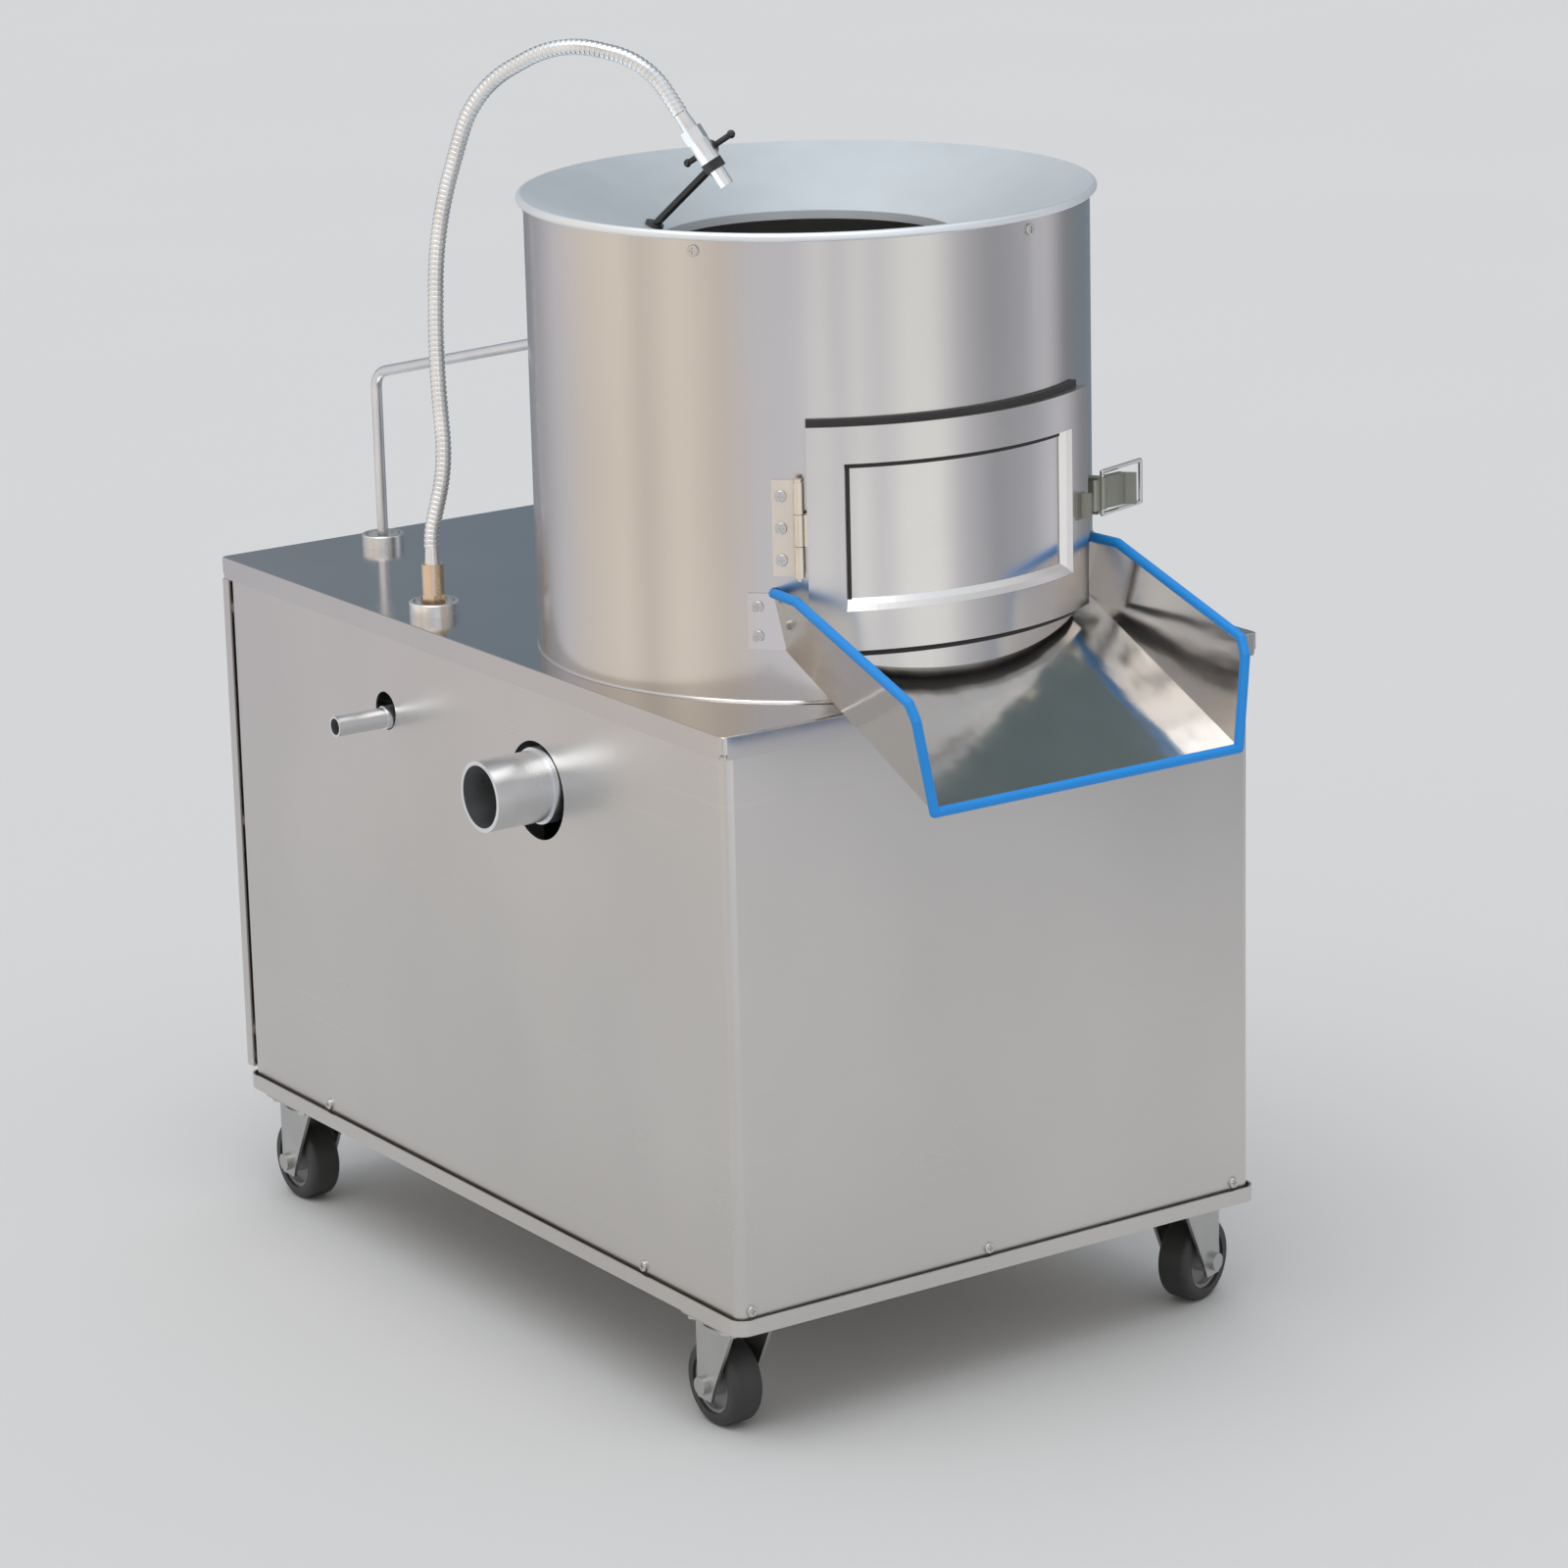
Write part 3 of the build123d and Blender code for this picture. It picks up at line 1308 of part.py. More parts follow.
def latch_lever():
    """A pressed channel that turns on the latch's pin and carries the bail."""
    w, t = latch_half_width, latch_lever_thickness
    turn = Rot(0, 0, 90 + latch_rest_angle)
    end = lever_direction(latch_rest_angle) * latch_lever_length
    tip_turn = Pos(end.X, end.Y, 0) * turn * Rot(0, 0, -latch_lever_tip_angle)
    pieces = [Pos(0, 0, -w) * Cylinder(latch_barrel_radius, 2 * w, align=UPWARD),
              Pos(bail_pivot.X, bail_pivot.Y, -w) * Cylinder(latch_boss_radius, 2 * w, align=UPWARD),
              Pos(end.X, end.Y, -w) * Cylinder(t / 2, 2 * w, align=UPWARD),
              turn * block(0, latch_lever_length, -t / 2, t / 2, -w, w),
              tip_turn * block(0, latch_lever_tip, -t / 2, t / 2, -w, w)]
    for low, high in ((-w, -w + t), (w - t, w)):
        pieces.append(turn * block(0, latch_lever_length, 0, latch_lever_flange, low, high))
    bore = Cylinder(latch_pin_radius + running_gap, 2 * (w + overrun), align=UPWARD)
    lever = fuse(pieces) - Pos(0, 0, -w - overrun) * bore
    depth = bail_pin_depth + fit_gap
    for z in (-w, w - depth):
        hole = Cylinder(bail_wire_radius + running_gap, depth, align=UPWARD)
        lever -= Pos(bail_pivot.X, bail_pivot.Y, z) * hole
    return latch_place(lever)


def latch_bail():
    """A wire loop whose bent-in ends turn in the lever."""
    far = bail_pivot + bail_direction(bail_rest_angle) * bail_length
    upper = Vector(0, 0, bail_side)
    pieces = [bar(tuple(far - upper), tuple(far + upper), bail_wire_radius)]
    for side in (-1, 1):
        inner = tuple(bail_pivot + Vector(0, 0, side * (latch_half_width - bail_pin_depth)))
        root, corner = tuple(bail_pivot + upper * side), tuple(far + upper * side)
        pieces += [bar(inner, root, bail_wire_radius), bar(root, corner, bail_wire_radius)]
        pieces += [ball(root, bail_wire_radius), ball(corner, bail_wire_radius)]
    return latch_place(fuse(pieces))


def latch_keeper():
    """The upstand on the door that the bail hooks behind when the lever is closed."""
    pivot = lever_direction(latch_closed_angle) * bail_offset
    reach = bail_direction(bail_closed_angle) * bail_length
    hook_x = (pivot + reach).X - bail_wire_radius - fit_gap
    surface = sqrt(door_outer_radius ** 2 - hook_x ** 2) - latch_pin_circle
    half = keeper_half_width
    low, high = surface - overrun, surface + keeper_height
    upstand = block(hook_x - keeper_thickness, hook_x, low, high, -half, half)
    keeper = latch_place(upstand) - drum_core(door_outer_radius)
    heading = latch_heading - degrees(atan2(hook_x, latch_pin_circle + surface))
    spread = turn_for(keeper_foot, door_outer_radius)
    return keeper + sector(door_outer_radius, door_outer_radius + keeper_foot_thickness, latch_height - half,
                           latch_height + half, heading - spread, heading + spread)


# Chute, drawn across the machine's front about the drum's centre line

slope_sin = sin(radians(chute_slope_angle))
slope_cos = cos(radians(chute_slope_angle))
chute_rise = chute_shoulder_height - chute_lip_height
chute_run = (drum_y - chute_lip_y) / slope_cos
flare_share = chute_flare / chute_front_height
chute_lip_middle = (drum_x, chute_lip_y, chute_lip_height)
chute_plane = Plane(origin=chute_lip_middle, x_dir=(1, 0, 0), z_dir=(0, -slope_cos, -slope_sin))
chute_front_top = chute_lip_height + chute_front_height
wall_outline = [
    (chute_lip_y, chute_lip_height - chute_sheet),
    (chute_lip_y + chute_front_lean, chute_front_top),
    (chute_lip_y + chute_corner_cut, chute_front_top + chute_corner_cut),
    (chute_shoulder_y, chute_shoulder_height),
]


def wall_middle(y, z):
    """Half the distance between the walls' mid-planes where they pass a depth and a height."""
    height = (z - chute_lip_height) * slope_cos - (y - chute_lip_y) * slope_sin
    return chute_half_width - chute_sheet / 2 + flare_share * max(height, 0)


shoulder_half = wall_middle(chute_shoulder_y, chute_shoulder_height)
chute_wall_angle = degrees(atan2(shoulder_half, sqrt(drum_radius ** 2 - shoulder_half ** 2)))


def trough(inset, floor):
    """The space between the flared walls, above a height over the sloping floor."""
    low = chute_half_width - inset + flare_share * floor
    high = chute_half_width - inset + flare_share * chute_rise
    outline = Polyline((-low, floor), (low, floor), (high, chute_rise), (-high, chute_rise), close=True)
    section = chute_plane * make_face(outline)
    return extrude(section, -chute_run) + extrude(section, chute_rise)


def chute_tray():
    """Sloping floor and flared walls in one sheet, with a tab on the drum at each side."""
    outline = wall_outline + [(drum_y, chute_shoulder_height), (drum_y, deck_height),
                              (chute_lip_y, chute_lip_height - overrun)]
    side = Plane.YZ * make_face(Polyline(*outline, close=True))
    reach = chute_half_width + chute_rise
    kept = Pos(drum_x, 0, 0) * (extrude(side, reach) + extrude(side, -reach))
    tray = (trough(0, -chute_sheet) & kept) - trough(chute_sheet, 0) - drum_core(drum_radius)
    lap, width = turn_for(chute_tab_lap, drum_radius), turn_for(chute_tab_width, drum_radius)
    for sign in (-1, 1):
        ends = (chute_wall_angle - lap, chute_wall_angle + width - lap)
        start, end = sorted(-90 + sign * angle for angle in ends)
        tray += sector(drum_radius, drum_radius + chute_sheet, chute_shoulder_height - chute_tab_height,
                       chute_shoulder_height, start, end)
    return tray


def chute_edging():
    """Edging along both wall tops, down the front edges and across the lip."""
    lip, front, corner, shoulder = wall_outline
    rear_y = drum_y - sqrt((drum_radius + chute_sheet) ** 2 - shoulder_half ** 2)
    pieces = []
    route = ((rear_y, shoulder[1]), shoulder, corner, front, lip)
    for side in (-1, 1):
        line = [(drum_x + side * wall_middle(y, z), y, z) for y, z in route]
        pieces += [bar(start, end, edging_radius) for start, end in zip(line, line[1:])]
        pieces += [ball(point, edging_radius) for point in line[1:]]
    x = wall_middle(*lip)
    pieces.append(bar((drum_x - x, *lip), (drum_x + x, *lip), edging_radius))
    return fuse(pieces) - drum_core(drum_radius + chute_sheet + contact_gap)


# Casters, each drawn with its swivel at the origin and its trail along +X

caster_under = cabinet_base_height - caster_plate_thickness
fork_top = caster_under - raceway_height - raceway_gap
fork_half = wheel_width / 2 + fork_gap
fork_outer = fork_half + fork_plate


def caster_place(name):
    side_x = -1 if "left" in name else 1
    side_y = -1 if "front" in name else 1
    return side_x * caster_x, side_y * caster_y


def caster_bolts():
    inset = caster_plate_half - caster_bolt_inset
    grip = caster_plate_thickness + hem_sheet + angle_thickness
    places = [caster_place(name) for name in caster_trail_headings]
    return [hex_bolt((x + side_x * inset, y + side_y * inset, caster_under), (0, 0, -1), grip)
            for x, y in places for side_x in (-1, 1) for side_y in (-1, 1)]


def caster_plates():
    plates = []
    head_top = fork_top - fork_plate - raceway_gap
    for name in caster_trail_headings:
        x, y = caster_place(name)
        size = 2 * caster_plate_half
        plate = Pos(0, 0, caster_under) * Box(size, size, caster_plate_thickness, align=UPWARD)
        plate = fillet(plate.edges().filter_by(Axis.Z), caster_plate_round)
        plate += post(0, 0, caster_under - raceway_height, caster_under, raceway_radius)
        plate += post(0, 0, head_top, caster_under, kingpin_radius)
        plate += post(0, 0, head_top - kingpin_head_height, head_top, kingpin_head_radius)
        plates.append(Pos(x, y, 0) * plate)
    return plates


def caster_local(name, shape):
    x, y = caster_place(name)
    return Pos(x, y, 0) * Rot(0, 0, caster_trail_headings[name]) * shape


def caster_fork(name):
    """Pressed fork with tapered cheeks, and the axle bolt through them."""
    cap = post(0, 0, fork_top - fork_plate, fork_top, fork_cap_radius)
    rear, front = caster_trail + fork_arm_rear, caster_trail - fork_arm_rear
    outline = [(-fork_cap_radius, fork_top), (fork_cap_radius, fork_top), (rear, wheel_radius),
               (rear, fork_arm_low), (front, fork_arm_low), (caster_trail - fork_arm_front, wheel_radius)]
    cheek = extrude(Plane.XZ * make_face(Polyline(*outline, close=True)), fork_plate)
    cheeks = [Pos(0, -fork_half, 0) * cheek, Pos(0, fork_outer, 0) * cheek]
    half = fork_cap_radius
    bridge = block(-half, half, -fork_outer, fork_outer, fork_top - fork_plate, fork_top)
    bore = post(0, 0, fork_top - overrun, fork_top + overrun, kingpin_radius + running_gap)
    fork = fuse([cap, bridge] + cheeks) - bore

    def along_axle(start, end, radius):
        return bar((caster_trail, start, wheel_radius), (caster_trail, end, wheel_radius), radius)

    head = fork_outer + axle_head_height
    axle = [along_axle(-fork_outer, fork_outer, axle_radius)]
    axle += [along_axle(-head, -fork_outer, axle_head_radius), along_axle(fork_outer, head, axle_head_radius)]
    return caster_local(name, fuse([fork] + axle))


def wheel_local(name, shape):
    """From a wheel round the Z axis at the origin to its place in a fork."""
    return caster_local(name, Pos(caster_trail, 0, wheel_radius) * Rot(90, 0, 0) * shape)


def caster_tyre(name):
    half = wheel_width / 2
    tyre = Pos(0, 0, -half) * Cylinder(wheel_radius, wheel_width, align=UPWARD)
    tyre = fillet(tyre.edges().filter_by(GeomType.CIRCLE), tread_round)
    length = wheel_width + 2 * overrun
    bore = Cylinder(wheel_radius - tyre_depth, length, align=UPWARD)
    return wheel_local(name, tyre - Pos(0, 0, -half - overrun) * bore)


def caster_hub(name):
    """Hub with a wide boss, a thin web and a rim that stays inside the tyre's rounding."""
    half, web = (wheel_width - tread_round) / 2, wheel_web_half
    boss, boss_r = wheel_width / 2 + wheel_boss_proud, wheel_boss_radius
    outer = wheel_radius - tyre_depth
    rim_in, bore = outer - wheel_rim_wall, axle_radius + running_gap
    half_outline = [(boss_r, -web), (rim_in, -web), (rim_in, -half), (outer, -half)]
    mirrored = [(radius, -z) for radius, z in reversed(half_outline)]
    ends = [(boss_r, boss), (bore, boss), (bore, -boss), (boss_r, -boss)]
    return wheel_local(name, turned(half_outline + mirrored + ends))


# Switch box and cable gland

switch_face = half_width + switch_depth
cover_face = switch_face + switch_cover_thickness
bezel_face = cover_face + bezel_height


def switch_block(x_low, x_high, inset):
    box = block(x_low, x_high, switch_y - switch_half_length + inset, switch_y + switch_half_length - inset,
                switch_height - switch_half_height + inset, switch_height + switch_half_height - inset)
    return fillet(box.edges().filter_by(Axis.X), switch_corner - inset)


def button_bar(side, start, end, radius):
    """A round piece along X at the upper or lower button."""
    z = switch_height + side * button_spacing / 2
    return bar((start, switch_y, z), (end, switch_y, z), radius)


def switch_box():
    """Hollow box on the right panel, closed by a cover with a bezel round each button."""
    box = switch_block(half_width, cover_face, 0)
    box -= switch_block(half_width + switch_wall, switch_face, switch_wall)
    for side in (-1, 1):
        box += button_bar(side, cover_face, bezel_face, bezel_radius)
        box -= button_bar(side, switch_face - overrun, bezel_face + overrun, button_radius + contact_gap)
    return box


def push_button(side):
    cap = button_bar(side, cover_face, bezel_face + button_proud, button_radius)
    cap = fillet(cap.faces().sort_by(Axis.X)[-1].edges(), button_edge_radius)
    return cap + button_bar(side, cover_face - button_stem_length, cover_face, button_stem_radius)


def cable_gland():
    """Screwed entry for the supply cable, bored through."""

    def along(start, end, radius):
        near, far = half_width + start, half_width + end
        return bar((near, gland_y, gland_height), (far, gland_y, gland_height), radius)

    face = Plane(origin=(half_width, gland_y, gland_height), z_dir=(1, 0, 0))
    nut = face * extrude(RegularPolygon(gland_radius, 6), gland_nut_length)
    end = gland_nut_length + gland_dome_length
    dome = along(0, end, gland_dome_radius)
    dome = fillet(dome.faces().sort_by(Axis.X)[-1].edges(), gland_dome_round)
    gland = fuse([nut, dome, along(-gland_thread_length, 0, gland_thread_radius)])
    return gland - along(-gland_thread_length - overrun, end + overrun, gland_bore_radius)


# Assembly: fasteners are cut out of the sheets that they pass through

cabinet_screw_set = panel_screws()
cover_screw_set = cover_screws()
rim_screw_set = rim_screws()
hinge_screw_set = hinge_screws()
chute_screw_set = chute_screws()
carrier_bolt_set = carrier_bolts()
motor_bolt_set = motor_bolts()
caster_bolt_set = caster_bolts()

frame_pieces = [piece - fuse(cover_screw_set) for piece in corner_posts()]
frame_pieces += [piece - fuse(carrier_bolt_set) for piece in drum_beams()]
frame_pieces += beam_posts() + motor_rails()
funnel = feed_funnel() - fuse(rim_screw_set)
chute = chute_tray() - fuse(chute_screw_set)
side_sheets = [front_panel(), left_panel(), right_panel()]

nodes = {
    "base_frame": base_frame() - fuse(cabinet_screw_set + caster_bolt_set),
    "inner_frame": group(frame_pieces),
    "cabinet_panel": group([sheet - fuse(cabinet_screw_set + cover_screw_set) for sheet in side_sheets]),
    "rear_cover": rear_cover() - fuse(cover_screw_set),
    "deck_plate": deck_plate(),
    "small_screws": group(cabinet_screw_set + cover_screw_set + rim_screw_set + hinge_screw_set
                          + chute_screw_set),
    "hex_bolts": group(carrier_bolt_set + motor_bolt_set + caster_bolt_set),
    "drum_shell": group([drum_wall() - fuse(rim_screw_set + hinge_screw_set + chute_screw_set), drum_pan()]),
    "abrasive_lining": abrasive_lining(),
    "feed_funnel": funnel,
    "bearing_carrier": bearing_carrier() - fuse(carrier_bolt_set),
    "main_bearings": group(main_bearings()),
    "shaft_seal": shaft_seal(),
    "main_shaft": main_shaft(),
    "peeling_disc": peeling_disc(),
    "disc_cap": disc_cap(),
    "driven_pulley": driven_pulley(),
    "v_belt": v_belt(),
    "motor_bracket": motor_bracket() - fuse(motor_bolt_set),
    "motor_body": group([motor_casing() - fuse(motor_bolt_set), terminal_box(), capacitor()]),
    "fan_cover": fan_cover(),
    "motor_shaft": motor_shaft(),
    "motor_pulley": motor_pulley(),
    "drain_pipe": drain_pipe(),
    "water_pipe": water_pipe(),
    "deck_collars": group([deck_collar(gooseneck_x, gooseneck_y, gooseneck_collar_radius, hose_bore_radius),
                           deck_collar(spray_x, spray_y, spray_collar_radius, spray_radius - spray_wall)]),
    "hose_ferrule": hose_ferrule(),
    "gooseneck_hose": gooseneck_hose(),
    "tap_body": tap_body(),
    "tap_lever": tap_lever(),
    "tap_rod": tap_rod() - funnel,
    "spray_pipe": spray_pipe(),
    "door_frame": door_frame(),
    "door_panel": door_panel(),
    "door_seal": door_seal(),
    "hinge_leaf_fixed": hinge_leaf_fixed() - fuse(hinge_screw_set),
    "hinge_leaf_door": hinge_leaf_door(),
    "latch_base": latch_base(),
    "latch_lever": latch_lever(),
    "latch_bail": latch_bail(),
    "latch_keeper": latch_keeper(),
    "chute_tray": chute,
    "chute_edging": chute_edging() - chute,
    "switch_box": switch_box(),
    "start_button": push_button(1),
    "stop_button": push_button(-1),
    "cable_gland": cable_gland(),
    "caster_plates": group([plate - fuse(caster_bolt_set) for plate in caster_plates()]),
}
for caster in caster_trail_headings:
    nodes["caster_fork_" + caster] = caster_fork(caster)
    nodes["caster_tyre_" + caster] = caster_tyre(caster)
    nodes["caster_hub_" + caster] = caster_hub(caster)

# The origin moves to the floor under the middle of the machine's overall width and length
left_reach = drain_end_x
right_reach = bezel_face + button_proud
front_reach = chute_lip_y - edging_radius
rear_reach = cover_back + screw_head_height
origin_x = (left_reach + right_reach) / 2
origin_y = (front_reach + rear_reach) / 2

for name, shape in nodes.items():
    export_step(Pos(-origin_x, -origin_y, 0) * shape, "parts/" + name + ".step")
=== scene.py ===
"""Potato peeling machine: finishes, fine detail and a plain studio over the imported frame."""

from math import cos, pi, radians, sin, tau
from random import Random

import bmesh
import bpy
from bpy.props import FloatProperty, FloatVectorProperty, IntProperty, PointerProperty
from mathutils import Matrix, Vector


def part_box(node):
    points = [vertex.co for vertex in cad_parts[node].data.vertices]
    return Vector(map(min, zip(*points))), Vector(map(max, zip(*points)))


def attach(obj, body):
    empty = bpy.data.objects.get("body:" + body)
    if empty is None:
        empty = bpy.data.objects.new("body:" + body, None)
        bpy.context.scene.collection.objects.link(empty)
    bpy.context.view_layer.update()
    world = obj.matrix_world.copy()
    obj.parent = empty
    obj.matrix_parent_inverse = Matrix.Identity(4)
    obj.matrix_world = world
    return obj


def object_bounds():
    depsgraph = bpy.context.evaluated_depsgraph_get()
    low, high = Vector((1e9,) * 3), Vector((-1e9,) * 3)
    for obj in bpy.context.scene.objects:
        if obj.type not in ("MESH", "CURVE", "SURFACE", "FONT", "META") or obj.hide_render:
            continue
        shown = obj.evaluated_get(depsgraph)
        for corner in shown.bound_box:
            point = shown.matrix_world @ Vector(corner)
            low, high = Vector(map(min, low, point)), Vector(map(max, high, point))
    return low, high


bl_info = {
    "name": "Potato peeling machine",
    "version": (1, 0, 0),
    "blender": (4, 5, 0),
    "location": "View3D > Sidebar > Peeler",
    "description": "Finishes and fine detail for a stainless potato peeling machine",
    "category": "Object",
}

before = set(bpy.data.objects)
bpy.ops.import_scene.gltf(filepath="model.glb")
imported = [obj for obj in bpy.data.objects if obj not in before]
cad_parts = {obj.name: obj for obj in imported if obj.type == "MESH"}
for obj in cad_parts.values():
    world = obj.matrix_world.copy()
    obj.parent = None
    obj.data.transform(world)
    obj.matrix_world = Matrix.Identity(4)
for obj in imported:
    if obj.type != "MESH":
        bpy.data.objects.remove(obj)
cad_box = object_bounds()
drum_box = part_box("drum_shell")
deck_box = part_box("deck_plate")
drum_middle = (drum_box[0] + drum_box[1]) / 2
drum_radius = (drum_box[1].x - drum_box[0].x) / 2
deck_top = deck_box[1].z


# Sizes and colours that a user would change


class SteelSettings(bpy.types.PropertyGroup):
    """The stainless sheet of the cabinet, drum, door, funnel and chute."""
    sheet_colour: FloatVectorProperty(
        name="Sheet colour", description="Stainless sheet of the cabinet and drum", subtype="COLOR", size=3,
        min=0, max=1, default=(0.64, 0.618, 0.596))
    # The funnel's colour is pale blue and brighter than the sheet: the funnel's own rolled steel with painted
    # reflection of the cool sky above it.
    funnel_sky_colour: FloatVectorProperty(
        name="Funnel colour", description="Bright rolled sheet of the funnel", subtype="COLOR", size=3,
        min=0, max=1, default=(0.90, 0.96, 1.0))
    sheet_roughness: FloatProperty(
        name="Sheet roughness", description="Dullness of the satin sheet", min=0, max=1, default=0.3,
        subtype="FACTOR")
    drum_roughness: FloatProperty(
        name="Drum roughness", description="Dullness of the drum's wall", min=0, max=1, default=0.21,
        subtype="FACTOR")
    chute_roughness: FloatProperty(
        name="Chute roughness", description="Dullness of the bright chute", min=0, max=1, default=0.13,
        subtype="FACTOR")
    ripple_depth: FloatProperty(
        name="Ripple depth", description="Depth of the slow waves in thin sheet", min=0, default=0.0008,
        unit="LENGTH", precision=5)


class TrimSettings(bpy.types.PropertyGroup):
    """Colours of edging, rubber, plastics and paint."""
    edging_colour: FloatVectorProperty(
        name="Edging colour", description="Plastic edging round the chute", subtype="COLOR", size=3,
        min=0, max=1, default=(0.002, 0.27, 0.78))
    rubber_colour: FloatVectorProperty(
        name="Rubber colour", description="Tyres, belt and seals", subtype="COLOR", size=3,
        min=0, max=1, default=(0.018, 0.018, 0.019))
    latch_colour: FloatVectorProperty(
        name="Latch colour", description="Plated pressings of the latch", subtype="COLOR", size=3,
        min=0, max=1, default=(0.33, 0.33, 0.28))
    hinge_colour: FloatVectorProperty(
        name="Hinge colour", description="Leaves of the door's hinge", subtype="COLOR", size=3,
        min=0, max=1, default=(0.80, 0.73, 0.62))
    motor_colour: FloatVectorProperty(
        name="Motor colour", description="Enamel on the motor", subtype="COLOR", size=3,
        min=0, max=1, default=(0.05, 0.10, 0.16))


class DoorSettings(bpy.types.PropertyGroup):
    """The ledge round the door's window, the dark strip of painted shade at its top and left, and the lip of
    its seal.
    """
    heading: FloatProperty(
        name="Heading", description="Where the middle of the door faces, from +X", default=radians(-92),
        subtype="ANGLE")
    half_angle: FloatProperty(
        name="Half angle", description="Half of the door's arc", default=radians(33.5), subtype="ANGLE")
    border: FloatProperty(
        name="Border", description="Width of the raised border at the sides and top", default=0.025,
        unit="LENGTH", precision=4)
    low_border: FloatProperty(
        name="Lower border", description="Width of the raised border at the bottom", default=0.027,
        unit="LENGTH", precision=4)
    ledge_width: FloatProperty(
        name="Ledge width", description="Width of the sloping ledge round the window", default=0.0075,
        unit="LENGTH", precision=4)
    panel_stand_off: FloatProperty(
        name="Panel stand-off", description="From the drum's wall to the window's face", default=0.0046,
        unit="LENGTH", precision=4)
    rim_stand_off: FloatProperty(
        name="Rim stand-off", description="From the drum's wall to the border's face", default=0.0108,
        unit="LENGTH", precision=4)
    # The joint is a dark strip of painted shade: it stands in for the shade on the steep top and left sides
    # of the window's recess, and is not at the bottom or right.
    shade_strip_width: FloatProperty(
        name="Shade strip width", description="Width of the dark joint at the window's top and left",
        default=0.0022, unit="LENGTH", precision=4)
    shade_strip_rise: FloatProperty(
        name="Shade strip rise", description="How far the joint stands out of the window's face", default=0.0009,
        unit="LENGTH", precision=4)
    shade_strip_depth: FloatProperty(
        name="Shade strip depth", description="How deep the joint goes into the window's sheet", default=0.0008,
        unit="LENGTH", precision=4)
    lip_radius: FloatProperty(
        name="Lip radius", description="Radius of the seal's lip under the door", default=0.0026,
        unit="LENGTH", precision=4)


class BeadSettings(bpy.types.PropertyGroup):
    """The weld bead round the drum's foot and the marks on the buttons."""
    foot_bead_radius: FloatProperty(
        name="Foot bead radius", description="Radius of the weld bead round the drum's foot", min=0,
        default=0.0016, unit="LENGTH", precision=5)
    foot_bead_steps: IntProperty(
        name="Foot bead steps", description="Steps round the drum's foot", min=24, default=180)
    mark_width: FloatProperty(
        name="Mark width", description="Width of the strokes on the buttons", min=0, default=0.0014,
        unit="LENGTH", precision=5)
    mark_height: FloatProperty(
        name="Mark height", description="How far the strokes stand out", min=0, default=0.0003,
        unit="LENGTH", precision=5)
    mark_reach: FloatProperty(
        name="Mark reach", description="Half of the stroke's length, and the ring's radius", min=0,
        default=0.0042, unit="LENGTH", precision=5)


class StageSettings(bpy.types.PropertyGroup):
    """Floor, light from all round, screens, lamp and the photograph's camera."""
    floor_colour: FloatVectorProperty(
        name="Floor colour", description="Plain pale floor", subtype="COLOR", size=3, min=0, max=1,
        default=(0.66, 0.66, 0.66))
    sky_colour: FloatVectorProperty(
        name="Upper light colour", description="Cool light from above", subtype="COLOR", size=3, min=0, max=1,
        default=(0.84, 0.91, 1.0))
    wall_colour: FloatVectorProperty(
        name="Side light colour", description="Light from all round", subtype="COLOR", size=3, min=0, max=1,
        default=(0.66, 0.65, 0.63))
    warm_colour: FloatVectorProperty(
        name="Warm screen", description="Screen at the left, seen in polished steel", subtype="COLOR", size=3,
        min=0, max=1, default=(0.86, 0.78, 0.70))
    cool_colour: FloatVectorProperty(
        name="Cool screen", description="Screen behind the camera, seen in polished steel", subtype="COLOR",
        size=3, min=0, max=1, default=(0.73, 0.73, 0.79))
    dark_colour: FloatVectorProperty(
        name="Dark screen", description="Screen at the right, seen in polished steel", subtype="COLOR",
        size=3, min=0, max=1, default=(0.30, 0.31, 0.34))
    surround_strength: FloatProperty(
        name="Light all round", description="Strength of the light from all round", min=0, default=0.96)
    screen_radius: FloatProperty(
        name="Screen radius", description="How far out the screens stand", min=0.8, default=1.6,
        unit="LENGTH")
    screen_height: FloatProperty(
        name="Screen height", description="How high the screens reach", min=0.5, default=2.3, unit="LENGTH")
    lamp_strength: FloatProperty(
        name="Main lamp", description="Strength of the one far lamp", min=0, default=0.98)
    lamp_spread: FloatProperty(
        name="Main lamp's spread", description="How soft the main lamp is", default=radians(50),
        subtype="ANGLE")
    camera_azimuth: FloatProperty(
        name="Azimuth", description="Camera's heading round the machine", default=radians(-33.97),
        subtype="ANGLE")
    camera_elevation: FloatProperty(
        name="Elevation", description="Camera's height angle", default=radians(15.51), subtype="ANGLE")
    camera_roll: FloatProperty(
        name="Roll", description="Camera's tilt", default=radians(-1.38), subtype="ANGLE")
    camera_distance: FloatProperty(
        name="Distance", description="From the camera to its target", default=3.966, unit="LENGTH")
    camera_target: FloatVectorProperty(
        name="Target", description="Point in the middle of the picture", size=3, subtype="TRANSLATION",
        unit="LENGTH", default=(0.05015, 0.0557, 0.3513))
    camera_lens: FloatProperty(
        name="Lens", description="Focal length on a 36 mm sensor", default=123.8, unit="CAMERA")


# Node trees written as sums


class Wire:
    """A node's output that can stand in a sum."""

    def __init__(self, finish, socket):
        self.finish, self.socket = finish, socket

    def sum_of(self, operation, first, second):
        return self.finish.add("Math", {"operation": operation}, {0: first, 1: second})

    def __add__(self, other):
        return self.sum_of("ADD", self, other)

    __radd__ = __add__

    def __sub__(self, other):
        return self.sum_of("SUBTRACT", self, other)

    def __rsub__(self, other):
        return self.sum_of("SUBTRACT", other, self)

    def __mul__(self, other):
        return self.sum_of("MULTIPLY", self, other)

    __rmul__ = __mul__

    def __gt__(self, other):
        return self.sum_of("GREATER_THAN", self, other)


